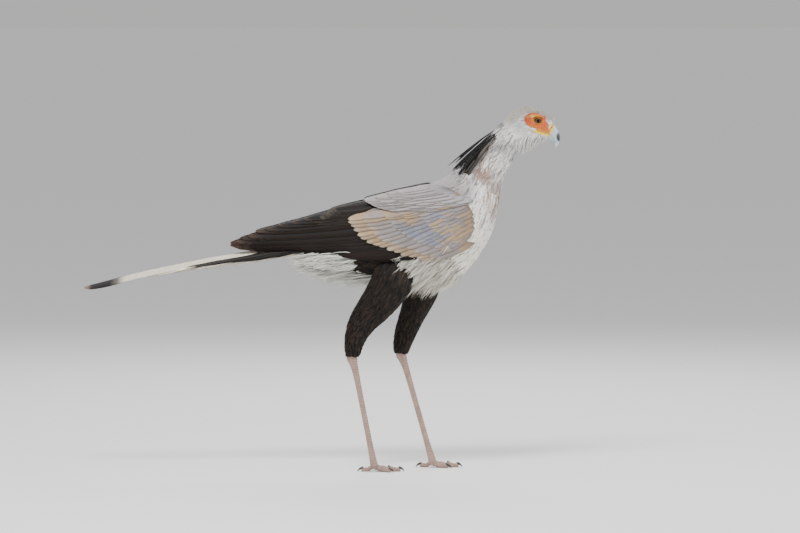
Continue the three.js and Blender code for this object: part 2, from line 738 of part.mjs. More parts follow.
const CERE_NORMAL = v3(0.88, 0, -0.47);

const upperBill = (grow = 0) => roundBody(profile(UPPER_BILL), 13, 12, grow);
const lowerBill = (grow = 0) => roundBody(profile(LOWER_BILL), 8, 10, grow);

// The yellow flange of the gape, which runs back from the bill along the cheek.
function gapeFlange(side, grow = 0) {
  const root = v3(598, side * 7, 870);
  const tip = v3(543, side * 26.5, 888);
  const bow = v3(-6, side * 9, -2);
  const facing = v3(0.25, side, -0.1).normalize();
  return plume({ root, tip, bow, facing, half: 3.6, thick: 6, rows: 4, cols: 1 }, grow);
}

function nostril(side) {
  return ovalColumn({
    x: 598.5, z: 890, long: 4.4, high: 1.4, tilt: -35,
    near: side > 0 ? 8.4 : -30, far: side > 0 ? 30 : -8.4,
  });
}

// Assembly

const group = new THREE.Group();
const made = {};

function add(name, whole, { color, roughness = 0.8, metalness = 0 }) {
  const body = largest(whole);
  const material = new THREE.MeshStandardMaterial({ color, roughness, metalness });
  const mesh = new THREE.Mesh(geometryOf(body), material);
  mesh.name = name;
  group.add(mesh);
  made[name] = body;
  return body;
}

const PALE_GREY = { color: 0xc9c5c4, roughness: 0.85 };
const WHITE = { color: 0xe9e6e0, roughness: 0.9 };
const BLACK = { color: 0x16120f, roughness: 0.85 };
const WING_GREY = { color: 0xb9b2ac, roughness: 0.8 };
const TAIL_WHITE = { color: 0xd8cfc0, roughness: 0.8 };
const ORANGE = { color: 0xd9652a, roughness: 0.55 };
const YELLOW = { color: 0xe6c83c, roughness: 0.45 };
const BILL_BLUE = { color: 0xaab7c0, roughness: 0.3 };
const IRIS = { color: 0x5a3a22, roughness: 0.05 };
const SHANK_PINK = { color: 0xb79a8a, roughness: 0.6 };
const CLAW_BLACK = { color: 0x1c1917, roughness: 0.35 };

const room = wholeBody(ROOM);
const SIDES = { left: 1, right: -1 };

// Torso, tail and wings
const torsoRoom = fuse([
  room,
  ...bellyLocks(ROOM),
  ...ventLocks(ROOM),
]);
const tailRoom = fuse([tailCore(ROOM), ...tailFeathers(ROOM)]);
const torsoBare = bodyBetween(wholeBody(), TAIL_CUT, NECK_BASE_CUT);
const tailWhole = cutBody(fuse([tailCore(0), ...tailFeathers(0)]), TAIL_CUT, false);
const belly = fuse([...bellyLocks(0), ...ventLocks(0)]).subtract(tailRoom);
add("torso", fuse([torsoBare, belly]), PALE_GREY);
add("tail", tailWhole.subtract(cutBody(torsoRoom, 0.2, true)), TAIL_WHITE);
for (const [name, side] of Object.entries(SIDES)) {
  const half = fuse(wingPieces(side)).trimByPlane([0, side, 0], 1);
  add(`wing_${name}`, half.subtract(torsoRoom).subtract(tailRoom), WING_GREY);
}

// Neck and head
const neckRoom = fuse([cutBody(room, MID_NECK_CUT, false)]);
add("neck_lower", bodyBetween(wholeBody(), NECK_BASE_CUT, MID_NECK_CUT), WHITE);
const crest = fuse(crestFeathers(0)).subtract(neckRoom);
add(
  "neck_upper",
  fuse([bodyBetween(wholeBody(), MID_NECK_CUT, HEAD_CUT), crest]),
  WHITE,
);
const eyes = Object.values(SIDES).map((side) => v3(EYE.x, side * EYE.y, EYE.z));
const neckAll = cutBody(room, HEAD_CUT, false);
const head = fuse([
  cutBody(wholeBody(), HEAD_CUT, true),
  fuse(beardLocks(0)).subtract(neckAll),
]);
const billRoom = fuse([upperBill(ROOM), lowerBill(ROOM), gapeFlange(1, ROOM), gapeFlange(-1, ROOM)]);
const eyeHoles = fuse(eyes.map((eye) => ball(eye, EYE_RADIUS + GAP, 12)));
add("head", head.subtract(eyeHoles).subtract(billRoom), WHITE);

const faces = {};
for (const [name, side] of Object.entries(SIDES)) {
  add(`eye_${name}`, ball(v3(EYE.x, side * EYE.y, EYE.z), EYE_RADIUS, 12), IRIS);
  faces[name] = add(`face_skin_${name}`, faceSkin(side).subtract(billRoom), ORANGE);
}
const upper = fuse([upperBill(), gapeFlange(1), gapeFlange(-1)]);
const cutCere = (whole, side) => {
  const normal = CERE_NORMAL.clone().normalize().multiplyScalar(side);
  return whole.trimByPlane(normal.toArray(), normal.dot(CERE_FRONT) + GAP / 2);
};
const upperRoom = fuse([upperBill(ROOM), gapeFlange(1, ROOM), gapeFlange(-1, ROOM)]);
const cere = cutCere(upper, -1).subtract(fuse([nostril(1), nostril(-1)]));
add("cere", cere, YELLOW);
add("bill_upper", cutCere(upper, 1), BILL_BLUE);
add("bill_lower", lowerBill().subtract(upperRoom), BILL_BLUE);

// Legs
for (const [name, side] of Object.entries(SIDES)) {
  const shank = fuse(shankPieces(name, side)).trimByPlane([0, 0, -1], -(HOCK_HEIGHT - GAP / 2));
  const shin = limb(mirrorY(THIGHS[name], side), 12, 12)
    .trimByPlane([0, 0, 1], HOCK_HEIGHT + GAP / 2);
  const shankRoom = fuse(shankPieces(name, side, ROOM));
  const locks = fuse(shinLocks(name, side, 0)).subtract(shankRoom);
  const leg = fuse([shin, locks]).subtract(torsoRoom).subtract(made[`wing_${name}`]);
  add(`shin_${name}`, leg, BLACK);
  const foot = add(`shank_${name}`, shank.trimByPlane([0, 0, 1], 0), SHANK_PINK);
  const footRoom = fuse([...shankPieces(name, side, ROOM)]);
  for (const [part, spec] of Object.entries(TOES)) {
    const others = Object.entries(TOES).filter(([other]) => other < part);
    const beside = others.map(([, taken]) => toe(name, side, taken, ROOM));
    add(`${part}_${name}`, toe(name, side, spec).subtract(fuse([footRoom, ...beside])), SHANK_PINK);
    const toeRoom = toe(name, side, spec, ROOM);
    add(`${part}_claw_${name}`, claw(name, side, spec).subtract(toeRoom), CLAW_BLACK);
  }
}

export default group;
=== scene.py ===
import math

import bpy
import numpy as np
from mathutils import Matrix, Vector


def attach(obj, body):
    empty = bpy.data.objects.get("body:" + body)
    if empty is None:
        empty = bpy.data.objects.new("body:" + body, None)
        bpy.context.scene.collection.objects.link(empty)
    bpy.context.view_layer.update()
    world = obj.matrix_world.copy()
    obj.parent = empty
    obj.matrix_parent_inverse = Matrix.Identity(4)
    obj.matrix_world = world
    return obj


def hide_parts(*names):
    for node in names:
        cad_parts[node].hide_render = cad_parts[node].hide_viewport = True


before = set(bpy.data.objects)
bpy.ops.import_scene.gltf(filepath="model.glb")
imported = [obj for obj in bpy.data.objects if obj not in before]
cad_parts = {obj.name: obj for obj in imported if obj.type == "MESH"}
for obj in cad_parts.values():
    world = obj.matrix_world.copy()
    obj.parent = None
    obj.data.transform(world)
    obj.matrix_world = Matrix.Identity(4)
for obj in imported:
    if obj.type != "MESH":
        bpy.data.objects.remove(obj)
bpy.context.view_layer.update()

MM = 0.001
SEED = 20
SIDES = {"left": 1, "right": -1}

# Camera

PHOTO_WIDTH_M = 2.08  # how much the photograph's width takes in, at the bird
AIM = Vector((0.2054, 0.0, 0.529))
CAMERA_DISTANCE = 13.0
CAMERA_ELEVATION = math.radians(3.5)

camera_data = bpy.data.cameras.new("camera")
camera_data.sensor_width = 36
camera_data.lens = 36 * CAMERA_DISTANCE / PHOTO_WIDTH_M
camera_data.clip_end = 100
camera = bpy.data.objects.new("camera", camera_data)
bpy.context.scene.collection.objects.link(camera)
away = Vector((0, -math.cos(CAMERA_ELEVATION), math.sin(CAMERA_ELEVATION)))
camera.location = AIM + away * CAMERA_DISTANCE
camera.rotation_mode = "QUATERNION"
camera.rotation_quaternion = (-away).to_track_quat("-Z", "Y")
bpy.context.scene.camera = camera

# Named sizes, in millimetres, shared with the solids

BODY = [
    # back line x, z; belly line x, z; half breadth
    (2, 612, 2, 546, 34),
    (62, 645, 62, 517, 48),
    (127, 680, 133, 504, 66),
    (192, 706, 205, 497, 80),
    (252, 730, 283, 491, 86),
    (299, 749, 351, 502, 86),
    (328, 763, 403, 554, 80),
    (343, 777, 439, 616, 68),
    (359, 791, 455, 673, 53),
    (377, 813, 464, 720, 40),
    (403, 838, 473, 759, 32),
    (429, 860, 489, 790, 28),
    (452, 884, 505, 824, 26),
    (473, 906, 521, 845, 27),
    (494, 927, 538, 857, 29),
    (516, 942, 555, 862, 31),
    (538, 947, 568, 865, 30),
    (562, 939, 580, 864, 25),
    (582, 928, 588, 867, 19),
    (598, 920, 594, 876, 13),
    (606, 911, 600, 893, 8),
]
SHELL = [
    # x, height of the widest line, rise of the shell above it, half breadth
    (-245, 580, 34, 22),
    (-132, 600, 43, 38),
    (-42, 610, 56, 52),
    (36, 606, 84, 66),
    (101, 604, 104, 80),
    (166, 606, 118, 91),
    (231, 612, 127, 98),
    (296, 624, 134, 99),
    (348, 640, 132, 93),
    (387, 652, 118, 80),
    (425, 656, 100, 60),
]
SHELL_TUCK = 0.26
SHINS = {
    "right": [
        (203, 52, 534, 42, 25),
        (190, 56, 504, 49, 33),
        (169, 57, 467, 46, 33),
        (143, 57, 431, 41, 29),
        (116, 56, 398, 34, 24),
        (97, 55, 367, 28, 20),
        (87, 54, 337, 22, 17),
        (83, 54, 311, 17, 14),
        (82, 54, 299, 13, 12),
    ],
    "left": [
        (268, 50, 525, 38, 25),
        (268, 54, 494, 42, 32),
        (261, 56, 460, 39, 31),
        (248, 56, 424, 33, 27),
        (234, 56, 390, 28, 23),
        (222, 55, 359, 25, 20),
        (213, 54, 330, 21, 17),
        (209, 54, 309, 17, 14),
        (208, 54, 299, 13, 12),
    ],
}
HOCK_X = {"right": 82, "left": 209}
FOOT_X = {"right": 138, "left": 290}
LEG_Y = 54
HOCK_HEIGHT = 303
ANKLE_HEIGHT = 15
TOES = {
    "inner_toe": (-30, 44, 6.2, 19),
    "middle_toe": (3, 66, 6.6, 18),
    "outer_toe": (34, 50, 6.0, 16),
    "hind_toe": (172, 30, 5.6, 19),
}
EYE = (561, 21.5, 908)
EYE_RADIUS = 9
UPPER_BILL = [
    (592, 915, 570, 876, 12.5),
    (604.5, 901, 585, 871, 11.5),
    (612.5, 889, 595.4, 865.3, 10),
    (618.3, 878, 602.2, 859, 8),
    (621.1, 866, 606.3, 853.3, 6),
    (620.4, 854, 608.4, 848.1, 4),
    (615.7, 844.2, 609, 842.9, 2.4),
    (610, 837.6, 608.4, 837.8, 0.9),
]
LOWER_BILL = [
    (566, 884, 560, 868, 13),
    (580, 878, 574.5, 864, 12),
    (594, 870, 588, 859, 9.5),
    (602, 863, 596.5, 855.5, 7),
    (607, 857, 603, 850.5, 4.2),
    (607.6, 850.6, 606.2, 848.6, 1.8),
]
TAIL_LINE = [(-12, 594), (-160, 568), (-305, 543), (-460, 511), (-617, 476)]


# Colours


def srgb(red, green, blue):
    """A screen colour, 0 to 255, as linear light."""
    c = np.array([red, green, blue], float) / 255
    return np.where(c <= 0.04045, c / 12.92, ((c + 0.055) / 1.055) ** 2.4)


CROWN_GREY = srgb(136, 124, 116)
CREAM = srgb(222, 212, 192)
EAR_GREY = srgb(160, 166, 182)
WHITE = srgb(238, 236, 232)
STREAK_GREY = srgb(112, 108, 114)
TAN = srgb(158, 106, 66)
MANTLE_GREY = srgb(160, 153, 154)
COVERT_GREY = srgb(120, 124, 142)
COVERT_LILAC = srgb(132, 117, 110)
BUFF = srgb(164, 138, 104)
PALE_EDGE = srgb(196, 182, 160)
DUSK = srgb(44, 36, 33)
BREAST_WHITE = srgb(240, 235, 222)
FLIGHT_BLACK = srgb(17, 13, 13)
FLIGHT_EDGE = srgb(84, 62, 50)
TERTIAL_BROWN = srgb(20, 13, 12)
SHIN_BLACK = srgb(14, 11, 10)
SHIN_BROWN = srgb(70, 52, 38)
TAIL_BLACK = srgb(13, 9, 8)
TAIL_BEIGE = srgb(205, 186, 156)
TAIL_CREAM = srgb(232, 226, 212)
TAIL_RUST = srgb(78, 48, 32)
CREST_BLACK = srgb(11, 10, 10)
CREST_GREY = srgb(96, 88, 82)
TAIL_GREY = srgb(158, 152, 146)
LEG_FRONT = srgb(172, 142, 128)
LEG_BACK = srgb(132, 112, 104)
# Painted shade for the grooves between the leg's plates
GROOVE_SHADE = srgb(92, 74, 66)
CLAW_DARK = srgb(34, 30, 28)
CERE_YELLOW = srgb(230, 188, 30)
GAPE_YELLOW = srgb(238, 200, 36)
BILL_BLUE = srgb(176, 190, 202)
BILL_TIP = srgb(200, 204, 206)
BILL_BLACK = srgb(18, 18, 20)
ORANGE = srgb(206, 84, 14)
ORANGE_DEEP = srgb(158, 46, 8)
ORANGE_PALE = srgb(224, 112, 28)
ORANGE_YELLOW = srgb(236, 146, 30)
FACE_PINK = srgb(204, 80, 48)


# Curves


def read_at(values, place):
    """A list's values, or a table's rows, at fractional places, on the curve the solids use."""
    values = np.asarray(values, float)
    last = len(values) - 1
    place = np.asarray(place, float)
    i = np.clip(np.floor(place).astype(int), 0, last - 1)
    t = np.clip(place - i, 0, 1)
    if values.ndim > 1:
        t = t[..., None]
    a = values[np.clip(i - 1, 0, last)]
    b = values[i]
    c = values[i + 1]
    d = values[np.clip(i + 2, 0, last)]
    rise = (c - b) * t * t * (3 - 2 * t)
    return b + rise + (c - a) / 2 * t * (1 - t) ** 2 - (d - b) / 2 * (1 - t) * t * t


def place_of(table, x):
    """The fractional places of x in a table that is sorted by its first column."""
    xs = np.array([row[0] for row in table], float)
    i = np.clip(np.searchsorted(xs, x) - 1, 0, len(xs) - 2)
    return i + np.clip((x - xs[i]) / (xs[i + 1] - xs[i]), 0, 1)


def heights(points, x):
    return read_at(points, place_of(points, x))[..., 1]


def lerp(a, b, t):
    return a + (b - a) * t


def smooth(t):
    t = np.clip(t, 0, 1)
    return t * t * (3 - 2 * t)


def fade(a, b, start, span):
    """A function of place that goes from a to b over a span."""
    return lambda place: lerp(a, b, smooth((place - start) / span))


def unit(v):
    return v / np.maximum(np.linalg.norm(v, axis=-1, keepdims=True), 1e-9)


def bezier(a, b, c, t):
    return a * (1 - t) ** 2 + 2 * b * t * (1 - t) + c * t ** 2


def mix(a, b, t):
    """Colour a to colour b, for an array of shares t."""
    t = np.clip(np.asarray(t, float), 0, 1)[..., None]
    return np.asarray(a) * (1 - t) + np.asarray(b) * t


def full_turn(count):
    return np.arange(count) * 360 / count


def ring_angles(count):
    return np.arange(count) * 2 * math.pi / count


def random_for(seed):
    return np.random.default_rng(SEED + seed)


# Surfaces: each gives points for arrays of its own two coordinates


def section_surface(stations):
    """A surface through oval sections. The turn is 0 on the back line and 180 on the belly."""

    def surface(place, turn):
        top_x, top_z, low_x, low_z, half = np.moveaxis(read_at(stations, place), -1, 0)
        a = np.radians(turn)
        x = (top_x + low_x) / 2 + (top_x - low_x) / 2 * np.cos(a)
        z = (top_z + low_z) / 2 + (top_z - low_z) / 2 * np.cos(a)
        return np.stack([x, half * np.sin(a), z], -1)

    return surface


body_surface = section_surface(BODY)


def limb_surface(stations, side):
    """A round limb through stations of x, y, z, half depth and half breadth."""
    flip = np.array([1, side, 1])

    def surface(place, turn):
        here = read_at(stations, place)
        ahead = read_at(stations, np.minimum(place + 0.05, len(stations) - 1))[..., :3] * flip
        behind = read_at(stations, np.maximum(place - 0.05, 0))[..., :3] * flip
        along = unit(ahead - behind)
        wide = unit(np.array([0.0, 1.0, 0.0]) - along * along[..., 1:2])
        tall = np.cross(along, wide)
        a = np.radians(turn)[..., None]
        deep, broad = here[..., 3:4], here[..., 4:5]
        return here[..., :3] * flip + tall * deep * np.cos(a) + wide * broad * np.sin(a)

    return surface


def centre_of(surface, place):
    back = np.zeros(np.shape(place))
    return (surface(place, back) + surface(place, back + 180)) / 2


def normals_of(surface, place, turn):
    """Outward unit normals of a surface, by small steps."""
    e, f = 0.03, 1.5
    along = surface(place + e, turn) - surface(place - e, turn)
    round_ = surface(place, turn + f) - surface(place, turn - f)
    n = unit(np.cross(round_, along))
    outward = np.sum(n * (surface(place, turn) - centre_of(surface, place)), -1, keepdims=True)
    return np.where(outward < 0, -n, n)


def shell_at(x, z):
    """Half the breadth of the folded wings' shell at x, z."""
    x = np.asarray(x, float)
    _, middle, rise, half = np.moveaxis(read_at(SHELL, place_of(SHELL, x)), -1, 0)
    q = np.clip((z - middle) / rise, -1.3, 0.975)
    above = np.sqrt(np.maximum(1 - q * q, 0))
    return half * np.where(q > 0, above, 1 - SHELL_TUCK * q * q)


def under_top(x, z):
    """Heights drawn in softly where they would pass over the shell's top."""
    xs, middle, rise, _ = np.array(SHELL, float).T
    top = np.interp(x, xs, middle + 0.93 * rise)
    return np.where(z > top, top + 5 * np.tanh((z - top) / 14), z)


def on_shell(x, z, lift, side):
    """Points lifted off the shell along its normals."""
    step = 2.0
    dx = (shell_at(x + step, z) - shell_at(x - step, z)) / (2 * step)
    dz = (shell_at(x, z + step) - shell_at(x, z - step)) / (2 * step)
    n = unit(np.stack([-dx, np.ones_like(dx), -dz], -1))
    p = np.stack([x, shell_at(x, z), z], -1) + n * np.asarray(lift)[..., None]
    return p * np.array([1.0, side, 1.0])


# Meshes


def new_mesh(name, points, faces, material, colours, uvs=None):
    """One object from numpy arrays: points in millimetres, faces of four corners, a colour for
    each point, and named UV maps with a pair for each point."""
    mesh = bpy.data.meshes.new(name)
    points = np.reshape(points, (-1, 3))
    corners = np.asarray(faces, np.int32).ravel()
    mesh.vertices.add(len(points))
    mesh.vertices.foreach_set("co", (points * MM).astype(np.float32).ravel())
    mesh.loops.add(len(corners))
    mesh.loops.foreach_set("vertex_index", corners)
    mesh.polygons.add(len(faces))
    mesh.polygons.foreach_set("loop_start", np.arange(0, len(corners), 4, dtype=np.int32))
    mesh.polygons.foreach_set("loop_total", np.full(len(faces), 4, np.int32))
    mesh.update(calc_edges=True)
    layer = mesh.color_attributes.new("tint", "FLOAT_COLOR", "POINT")
    rgba = np.ones((len(points), 4), np.float32)
    rgba[:, :3] = np.reshape(colours, (-1, 3))
    layer.data.foreach_set("color", rgba.ravel())
    for uv_name, uv in (uvs or {}).items():
        layer = mesh.uv_layers.new(name=uv_name)
        uv = np.reshape(uv, (-1, 2))
        layer.data.foreach_set("uv", uv[corners].astype(np.float32).ravel())
    mesh.polygons.foreach_set("use_smooth", np.full(len(faces), True))
    mesh.validate()
    mesh.materials.append(material)
    thing = bpy.data.objects.new(name, mesh)
    bpy.context.scene.collection.objects.link(thing)
    return thing


def keep(piece, slot, *nodes):
    """Rides a piece on the body and hides the CAD nodes that it stands for. The slot is not used."""
    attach(piece, "root")
    if nodes:
        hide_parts(*nodes)


def grid_faces(rows, ring, count=1):
    """Faces of grids of points, row by row, that each close round their ring."""
    k = np.arange(ring)
    quad = np.stack([k, (k + 1) % ring, (k + 1) % ring + ring, k + ring], -1)
    starts = np.arange(count)[:, None] * rows + np.arange(rows - 1)
    return (starts[..., None, None] * ring + quad).reshape(-1, 4)


def capped(points):
    """A grid of points with a ring more at each end, drawn in to the end's middle."""
    first = np.broadcast_to(points[:1].mean(1, keepdims=True), points[:1].shape)
    last = np.broadcast_to(points[-1:].mean(1, keepdims=True), points[-1:].shape)
    return np.concatenate([first, points, last])


def tube(surface, places, count):
    """A closed round surface: points, faces, and the place and turn of each point."""
    points = capped(surface(*np.meshgrid(places, full_turn(count), indexing="ij")))
    places = np.r_[np.floor(places[0]), places, np.ceil(places[-1])]
    place, turn = np.meshgrid(places, full_turn(count), indexing="ij")
    return points.reshape(-1, 3), grid_faces(len(places), count), place.ravel(), turn.ravel()


def join(parts):
    """Points and faces of several meshes as one."""
    points, faces, start = [], [], 0
    for part_points, part_faces, *_ in parts:
        points.append(part_points)
        faces.append(part_faces + start)
        start += len(part_points)
    return np.concatenate(points), np.concatenate(faces)


# Materials


def principled(name, roughness, sheen=0.0, coat=0.0):
    material = bpy.data.materials.new(name)
    material.use_nodes = True
    shader = material.node_tree.nodes["Principled BSDF"]
    shader.inputs["Roughness"].default_value = roughness
    shader.inputs["Sheen Weight"].default_value = sheen
    shader.inputs["Sheen Roughness"].default_value = 0.5
    shader.inputs["Coat Weight"].default_value = coat
    shader.inputs["Coat Roughness"].default_value = 0.06
    return material, material.node_tree, shader


def add_node(tree, kind, **values):
    node = tree.nodes.new(kind)
    for key, value in values.items():
        if key in node.inputs:
            node.inputs[key].default_value = value
        else:
            setattr(node, key, value)
    return node


def feed(tree, socket, value):
    """Sets a socket to a constant, or links another node's output to it."""
    if isinstance(value, (int, float, tuple)):
        socket.default_value = value
    else:
        tree.links.new(value, socket)


def math_node(tree, operation, *values):
    node = add_node(tree, "ShaderNodeMath", operation=operation)
    for socket, value in zip(node.inputs, values):
        feed(tree, socket, value)
    return node.outputs[0]


def mix_node(tree, blend, factor, a, b):
    node = add_node(tree, "ShaderNodeMix", data_type="RGBA", blend_type=blend)
    for k, value in ((0, factor), (6, a), (7, b)):
        feed(tree, node.inputs[k], value)
    return node.outputs[2]


def ramp_node(tree, fac, stops):
    node = add_node(tree, "ShaderNodeValToRGB")
    for element, (position, colour) in zip(node.color_ramp.elements, stops):
        element.position = position
        element.color = (*colour, 1)
    for position, colour in stops[2:]:
        node.color_ramp.elements.new(position).color = (*colour, 1)
    tree.links.new(fac, node.inputs[0])
    return node.outputs[0]


def grey_ramp(tree, fac, start, low, end, high):
    return ramp_node(tree, fac, [(start, (low,) * 3), (end, (high,) * 3)])


def tinted(name, roughness, sheen=0.0, coat=0.0):
    """A material, and the nodes that give the mesh's colour and the place on the bird."""
    material, tree, shader = principled(name, roughness, sheen, coat)
    tint = add_node(tree, "ShaderNodeAttribute", attribute_name="tint").outputs["Color"]
    place = add_node(tree, "ShaderNodeTexCoord").outputs["Object"]
    return material, tree, shader, tint, place


def texture(tree, place, kind="Noise", **values):
    node = add_node(tree, f"ShaderNodeTex{kind}", **values)
    tree.links.new(place, node.inputs["Vector"])
    return node.outputs[0]


def colour_and_bump(tree, shader, colour, height, strength, distance):
    tree.links.new(colour, shader.inputs["Base Color"])
    bump = add_node(tree, "ShaderNodeBump", Strength=strength, Distance=distance)
    tree.links.new(height, bump.inputs["Height"])
    tree.links.new(bump.outputs[0], shader.inputs["Normal"])


def feather_material(name, roughness, sheen, barb_pitch, barb_depth, shaft, mottling, gloss=0.5):
    """Vanes with barbs that slant off a central shaft. The colour comes from the mesh."""
    material, tree, shader, tint, place = tinted(name, roughness, sheen)
    shader.inputs["Specular IOR Level"].default_value = gloss
    split = add_node(tree, "ShaderNodeSeparateXYZ")
    tree.links.new(add_node(tree, "ShaderNodeUVMap", uv_map="vane").outputs[0], split.inputs[0])
    off = math_node(tree, "ABSOLUTE", split.outputs[0])
    slant = math_node(tree, "SUBTRACT", split.outputs[1], math_node(tree, "MULTIPLY", off, 0.9))
    wobble = texture(tree, place, Scale=260.0, Detail=2.0)
    shift = math_node(tree, "MULTIPLY", wobble, 0.9)
    phase = math_node(tree, "ADD", math_node(tree, "MULTIPLY", slant, 6.283 / barb_pitch), shift)
    barbs = math_node(tree, "SINE", phase)
    line = math_node(tree, "SMOOTH_MIN", math_node(tree, "MULTIPLY", off, 9.0), 1.0)
    patches = texture(tree, place, Scale=38.0, Detail=4.0, Roughness=0.6)
    shade = math_node(tree, "MULTIPLY_ADD", patches, mottling, 1 - mottling / 2)
    bright = math_node(tree, "MULTIPLY", math_node(tree, "MULTIPLY_ADD", barbs, 0.09, 1.0), shade)
    shade_colour = add_node(tree, "ShaderNodeCombineXYZ")
    for socket in shade_colour.inputs:
        tree.links.new(bright, socket)
    colour = mix_node(tree, "MULTIPLY", 1.0, tint, shade_colour.outputs[0])
    shaft_share = math_node(tree, "MULTIPLY", math_node(tree, "SUBTRACT", 1.0, line), 0.55)
    colour = mix_node(tree, "MIX", shaft_share, colour, (*shaft, 1))
    height = math_node(tree, "ADD", math_node(tree, "MULTIPLY", barbs, 0.5), shaft_share)
    colour_and_bump(tree, shader, colour, height, 0.5, barb_depth)
    return material


def skin_material():
    """The down under the feathers."""
    material, tree, shader, tint, place = tinted("skin", 0.85, 0.1)
    noise = texture(tree, place, Scale=220.0, Detail=4.0)
    colour = mix_node(tree, "MULTIPLY", 1.0, tint, grey_ramp(tree, noise, 0.25, 0.72, 0.75, 1.0))
    colour_and_bump(tree, shader, colour, noise, 0.6, 0.0015)
    return material


def bare_material(name, roughness, pore_scale, depth, mottling, coat=0.0, wrinkle=0.0):
    """Bare skin or horn: colour from the mesh, with blotches, pores and fine wrinkles."""
    material, tree, shader, tint, place = tinted(name, roughness, 0.0, coat)
    blotch = texture(tree, place, Scale=pore_scale / 6, Detail=5.0, Roughness=0.6)
    shade = grey_ramp(tree, blotch, 0.3, 1 - mottling, 0.7, 1 + mottling * 0.4)
    pores = texture(tree, place, "Voronoi", Scale=pore_scale, feature="DISTANCE_TO_EDGE")
    edge = grey_ramp(tree, pores, 0.0, 0.0, 0.12, 1.0)
    folds = texture(tree, place, Scale=pore_scale / 2, Detail=6.0)
    height = math_node(tree, "MULTIPLY_ADD", folds, wrinkle, edge)
    colour = mix_node(tree, "MULTIPLY", 1.0, tint, shade)
    colour_and_bump(tree, shader, colour, height, 0.5, depth)
    return material


def eye_material():
    material, tree, shader, tint, place = tinted("eye", 0.3, 0.0, 0.22)
    shader.inputs["Coat Roughness"].default_value = 0.02
    shader.inputs["Specular IOR Level"].default_value = 0.0
    noise = texture(tree, place, Scale=900.0, Detail=4.0)
    colour = mix_node(tree, "MULTIPLY", 1.0, tint, grey_ramp(tree, noise, 0.3, 0.75, 0.7, 1.1))
    tree.links.new(colour, shader.inputs["Base Color"])
    return material


SOFT = feather_material("soft_feathers", 0.85, 0.2, 0.6, 0.0004, CREAM, 0.2)
STIFF = feather_material("stiff_feathers", 0.7, 0.05, 0.8, 0.0003, STREAK_GREY, 0.5, 0.3)
DARK = feather_material("dark_feathers", 0.6, 0.0, 0.8, 0.0003, SHIN_BROWN, 0.4, 0.25)
SKIN = skin_material()
FACE = bare_material("face_skin", 0.5, 900, 0.0006, 0.3, coat=0.08, wrinkle=1.2)
HORN = bare_material("horn", 0.28, 500, 0.0001, 0.1, coat=0.25, wrinkle=0.4)
SCALES = bare_material("leg_scales", 0.5, 700, 0.0003, 0.25, wrinkle=0.5)
CLAW_HORN = bare_material("claw_horn", 0.32, 500, 0.0001, 0.3, coat=0.2, wrinkle=0.6)
EYE_SURFACE = eye_material()


# Feathers

# The boxes of the OFBake map: low u, low v, high u, high v
BODY_BOX = (0.01, 0.01, 0.60, 0.60)
SHIN_BOX = {"left": (0.62, 0.01, 0.80, 0.30), "right": (0.81, 0.01, 0.99, 0.30)}
WING_BOX = {"left": (0.01, 0.62, 0.49, 0.99), "right": (0.51, 0.62, 0.99, 0.99)}
TAIL_BOX = (0.62, 0.32, 0.99, 0.50)
PATCH = 0.003  # the width of a vane's own patch of that map


def feather_shape(t, root=0.35, tip=0.12, shoulder=0.68):
    base = lerp(root, 1.0, smooth(t / 0.42))
    s = np.clip((t - shoulder) / (1 - shoulder), 0, 1)
    return base * lerp(tip, 1.0, np.sqrt(np.maximum(1 - s * s, 0)))


def lance_shape(t):
    return lerp(0.55, 1.0, smooth(t / 0.3)) * lerp(1.0, 0.04, np.clip(t, 0, 1) ** 2.2)


def row_places(rows):
    """Shares of a vane's length for its rows, closer together towards the tip."""
    return 1 - (1 - np.linspace(0, 1, rows)) ** 1.35


def thinning(t):
    return np.sqrt(np.maximum(1 - t ** 3, 0.05))


def bake_place(place, turn, box):
    """A root's place on the unwrapped body, inside a box of the map."""
    u = lerp(box[0], box[2], np.clip(place / 20, 0, 1))
    v = lerp(box[1], box[3], (np.asarray(turn) % 360) / 360)
    return np.stack([u, v], -1)


def bake_patch(spots, across, t):
    """Each vane's small patch of the map, round its root's spot."""
    patch = np.zeros((len(spots), len(t), len(across), 2))
    patch[..., 0] = spots[:, None, None, 0] + PATCH / 2 * across
    patch[..., 1] = spots[:, None, None, 1] + PATCH * (t[None, :, None] - 0.5)
    return patch


def lay_vanes(name, lines, normals, halves, colours, spots, material, shape, camber, thick):
    """Many vanes as one mesh. lines is (N, R, 3), root to tip; normals (N, 3) or (N, R, 3);
    halves (N,); colours (N, R, 3, 3) for left edge, shaft and right edge."""
    count, rows, _ = lines.shape
    t = row_places(rows)
    along = unit(np.gradient(lines, axis=1))
    normals = np.broadcast_to(np.reshape(normals, (count, -1, 3)), lines.shape)
    across = unit(np.cross(normals, along))
    up = unit(np.cross(along, across))
    width = (halves[:, None] * shape(t)[None])[..., None]
    arch = up * (width * camber)
    body = up * (thick / 2 * thinning(t[None]))[..., None]
    left = lines - across * width - arch
    right = lines + across * width - arch
    points = np.stack([left, lines + body, right, lines - body], 2)
    # The ridge under each vane takes the shaft's colour at 0.8: painted shade on the vane's underside.
    tints_with_underside_shade = np.concatenate([colours, colours[:, :, 1:2] * 0.8], 2)
    length = np.linalg.norm(np.diff(lines, axis=1), axis=-1).sum(1)
    vane = np.zeros((count, rows, 4, 2))
    vane[..., 0] = np.array([-1.0, 0.0, 1.0, 0.0]) * width
    vane[..., 1] = (length[:, None] * t[None])[..., None]
    patch = bake_patch(spots, np.array([-1, 0, 1, 0.3]), t)
    faces = grid_faces(rows, 4, count)
    return new_mesh(name, points, faces, material, tints_with_underside_shade, {"vane": vane, "OFBake": patch})


def lay_body_vanes(name, lines, normals, halves, colours, place, turn, camber, thick,
                   material=SOFT, shape=lance_shape):
    vanes = lay_vanes(name, lines, normals, halves, colours, bake_place(place, turn, BODY_BOX),
                      material, shape, camber, thick)
    keep(vanes, "body_feathers")


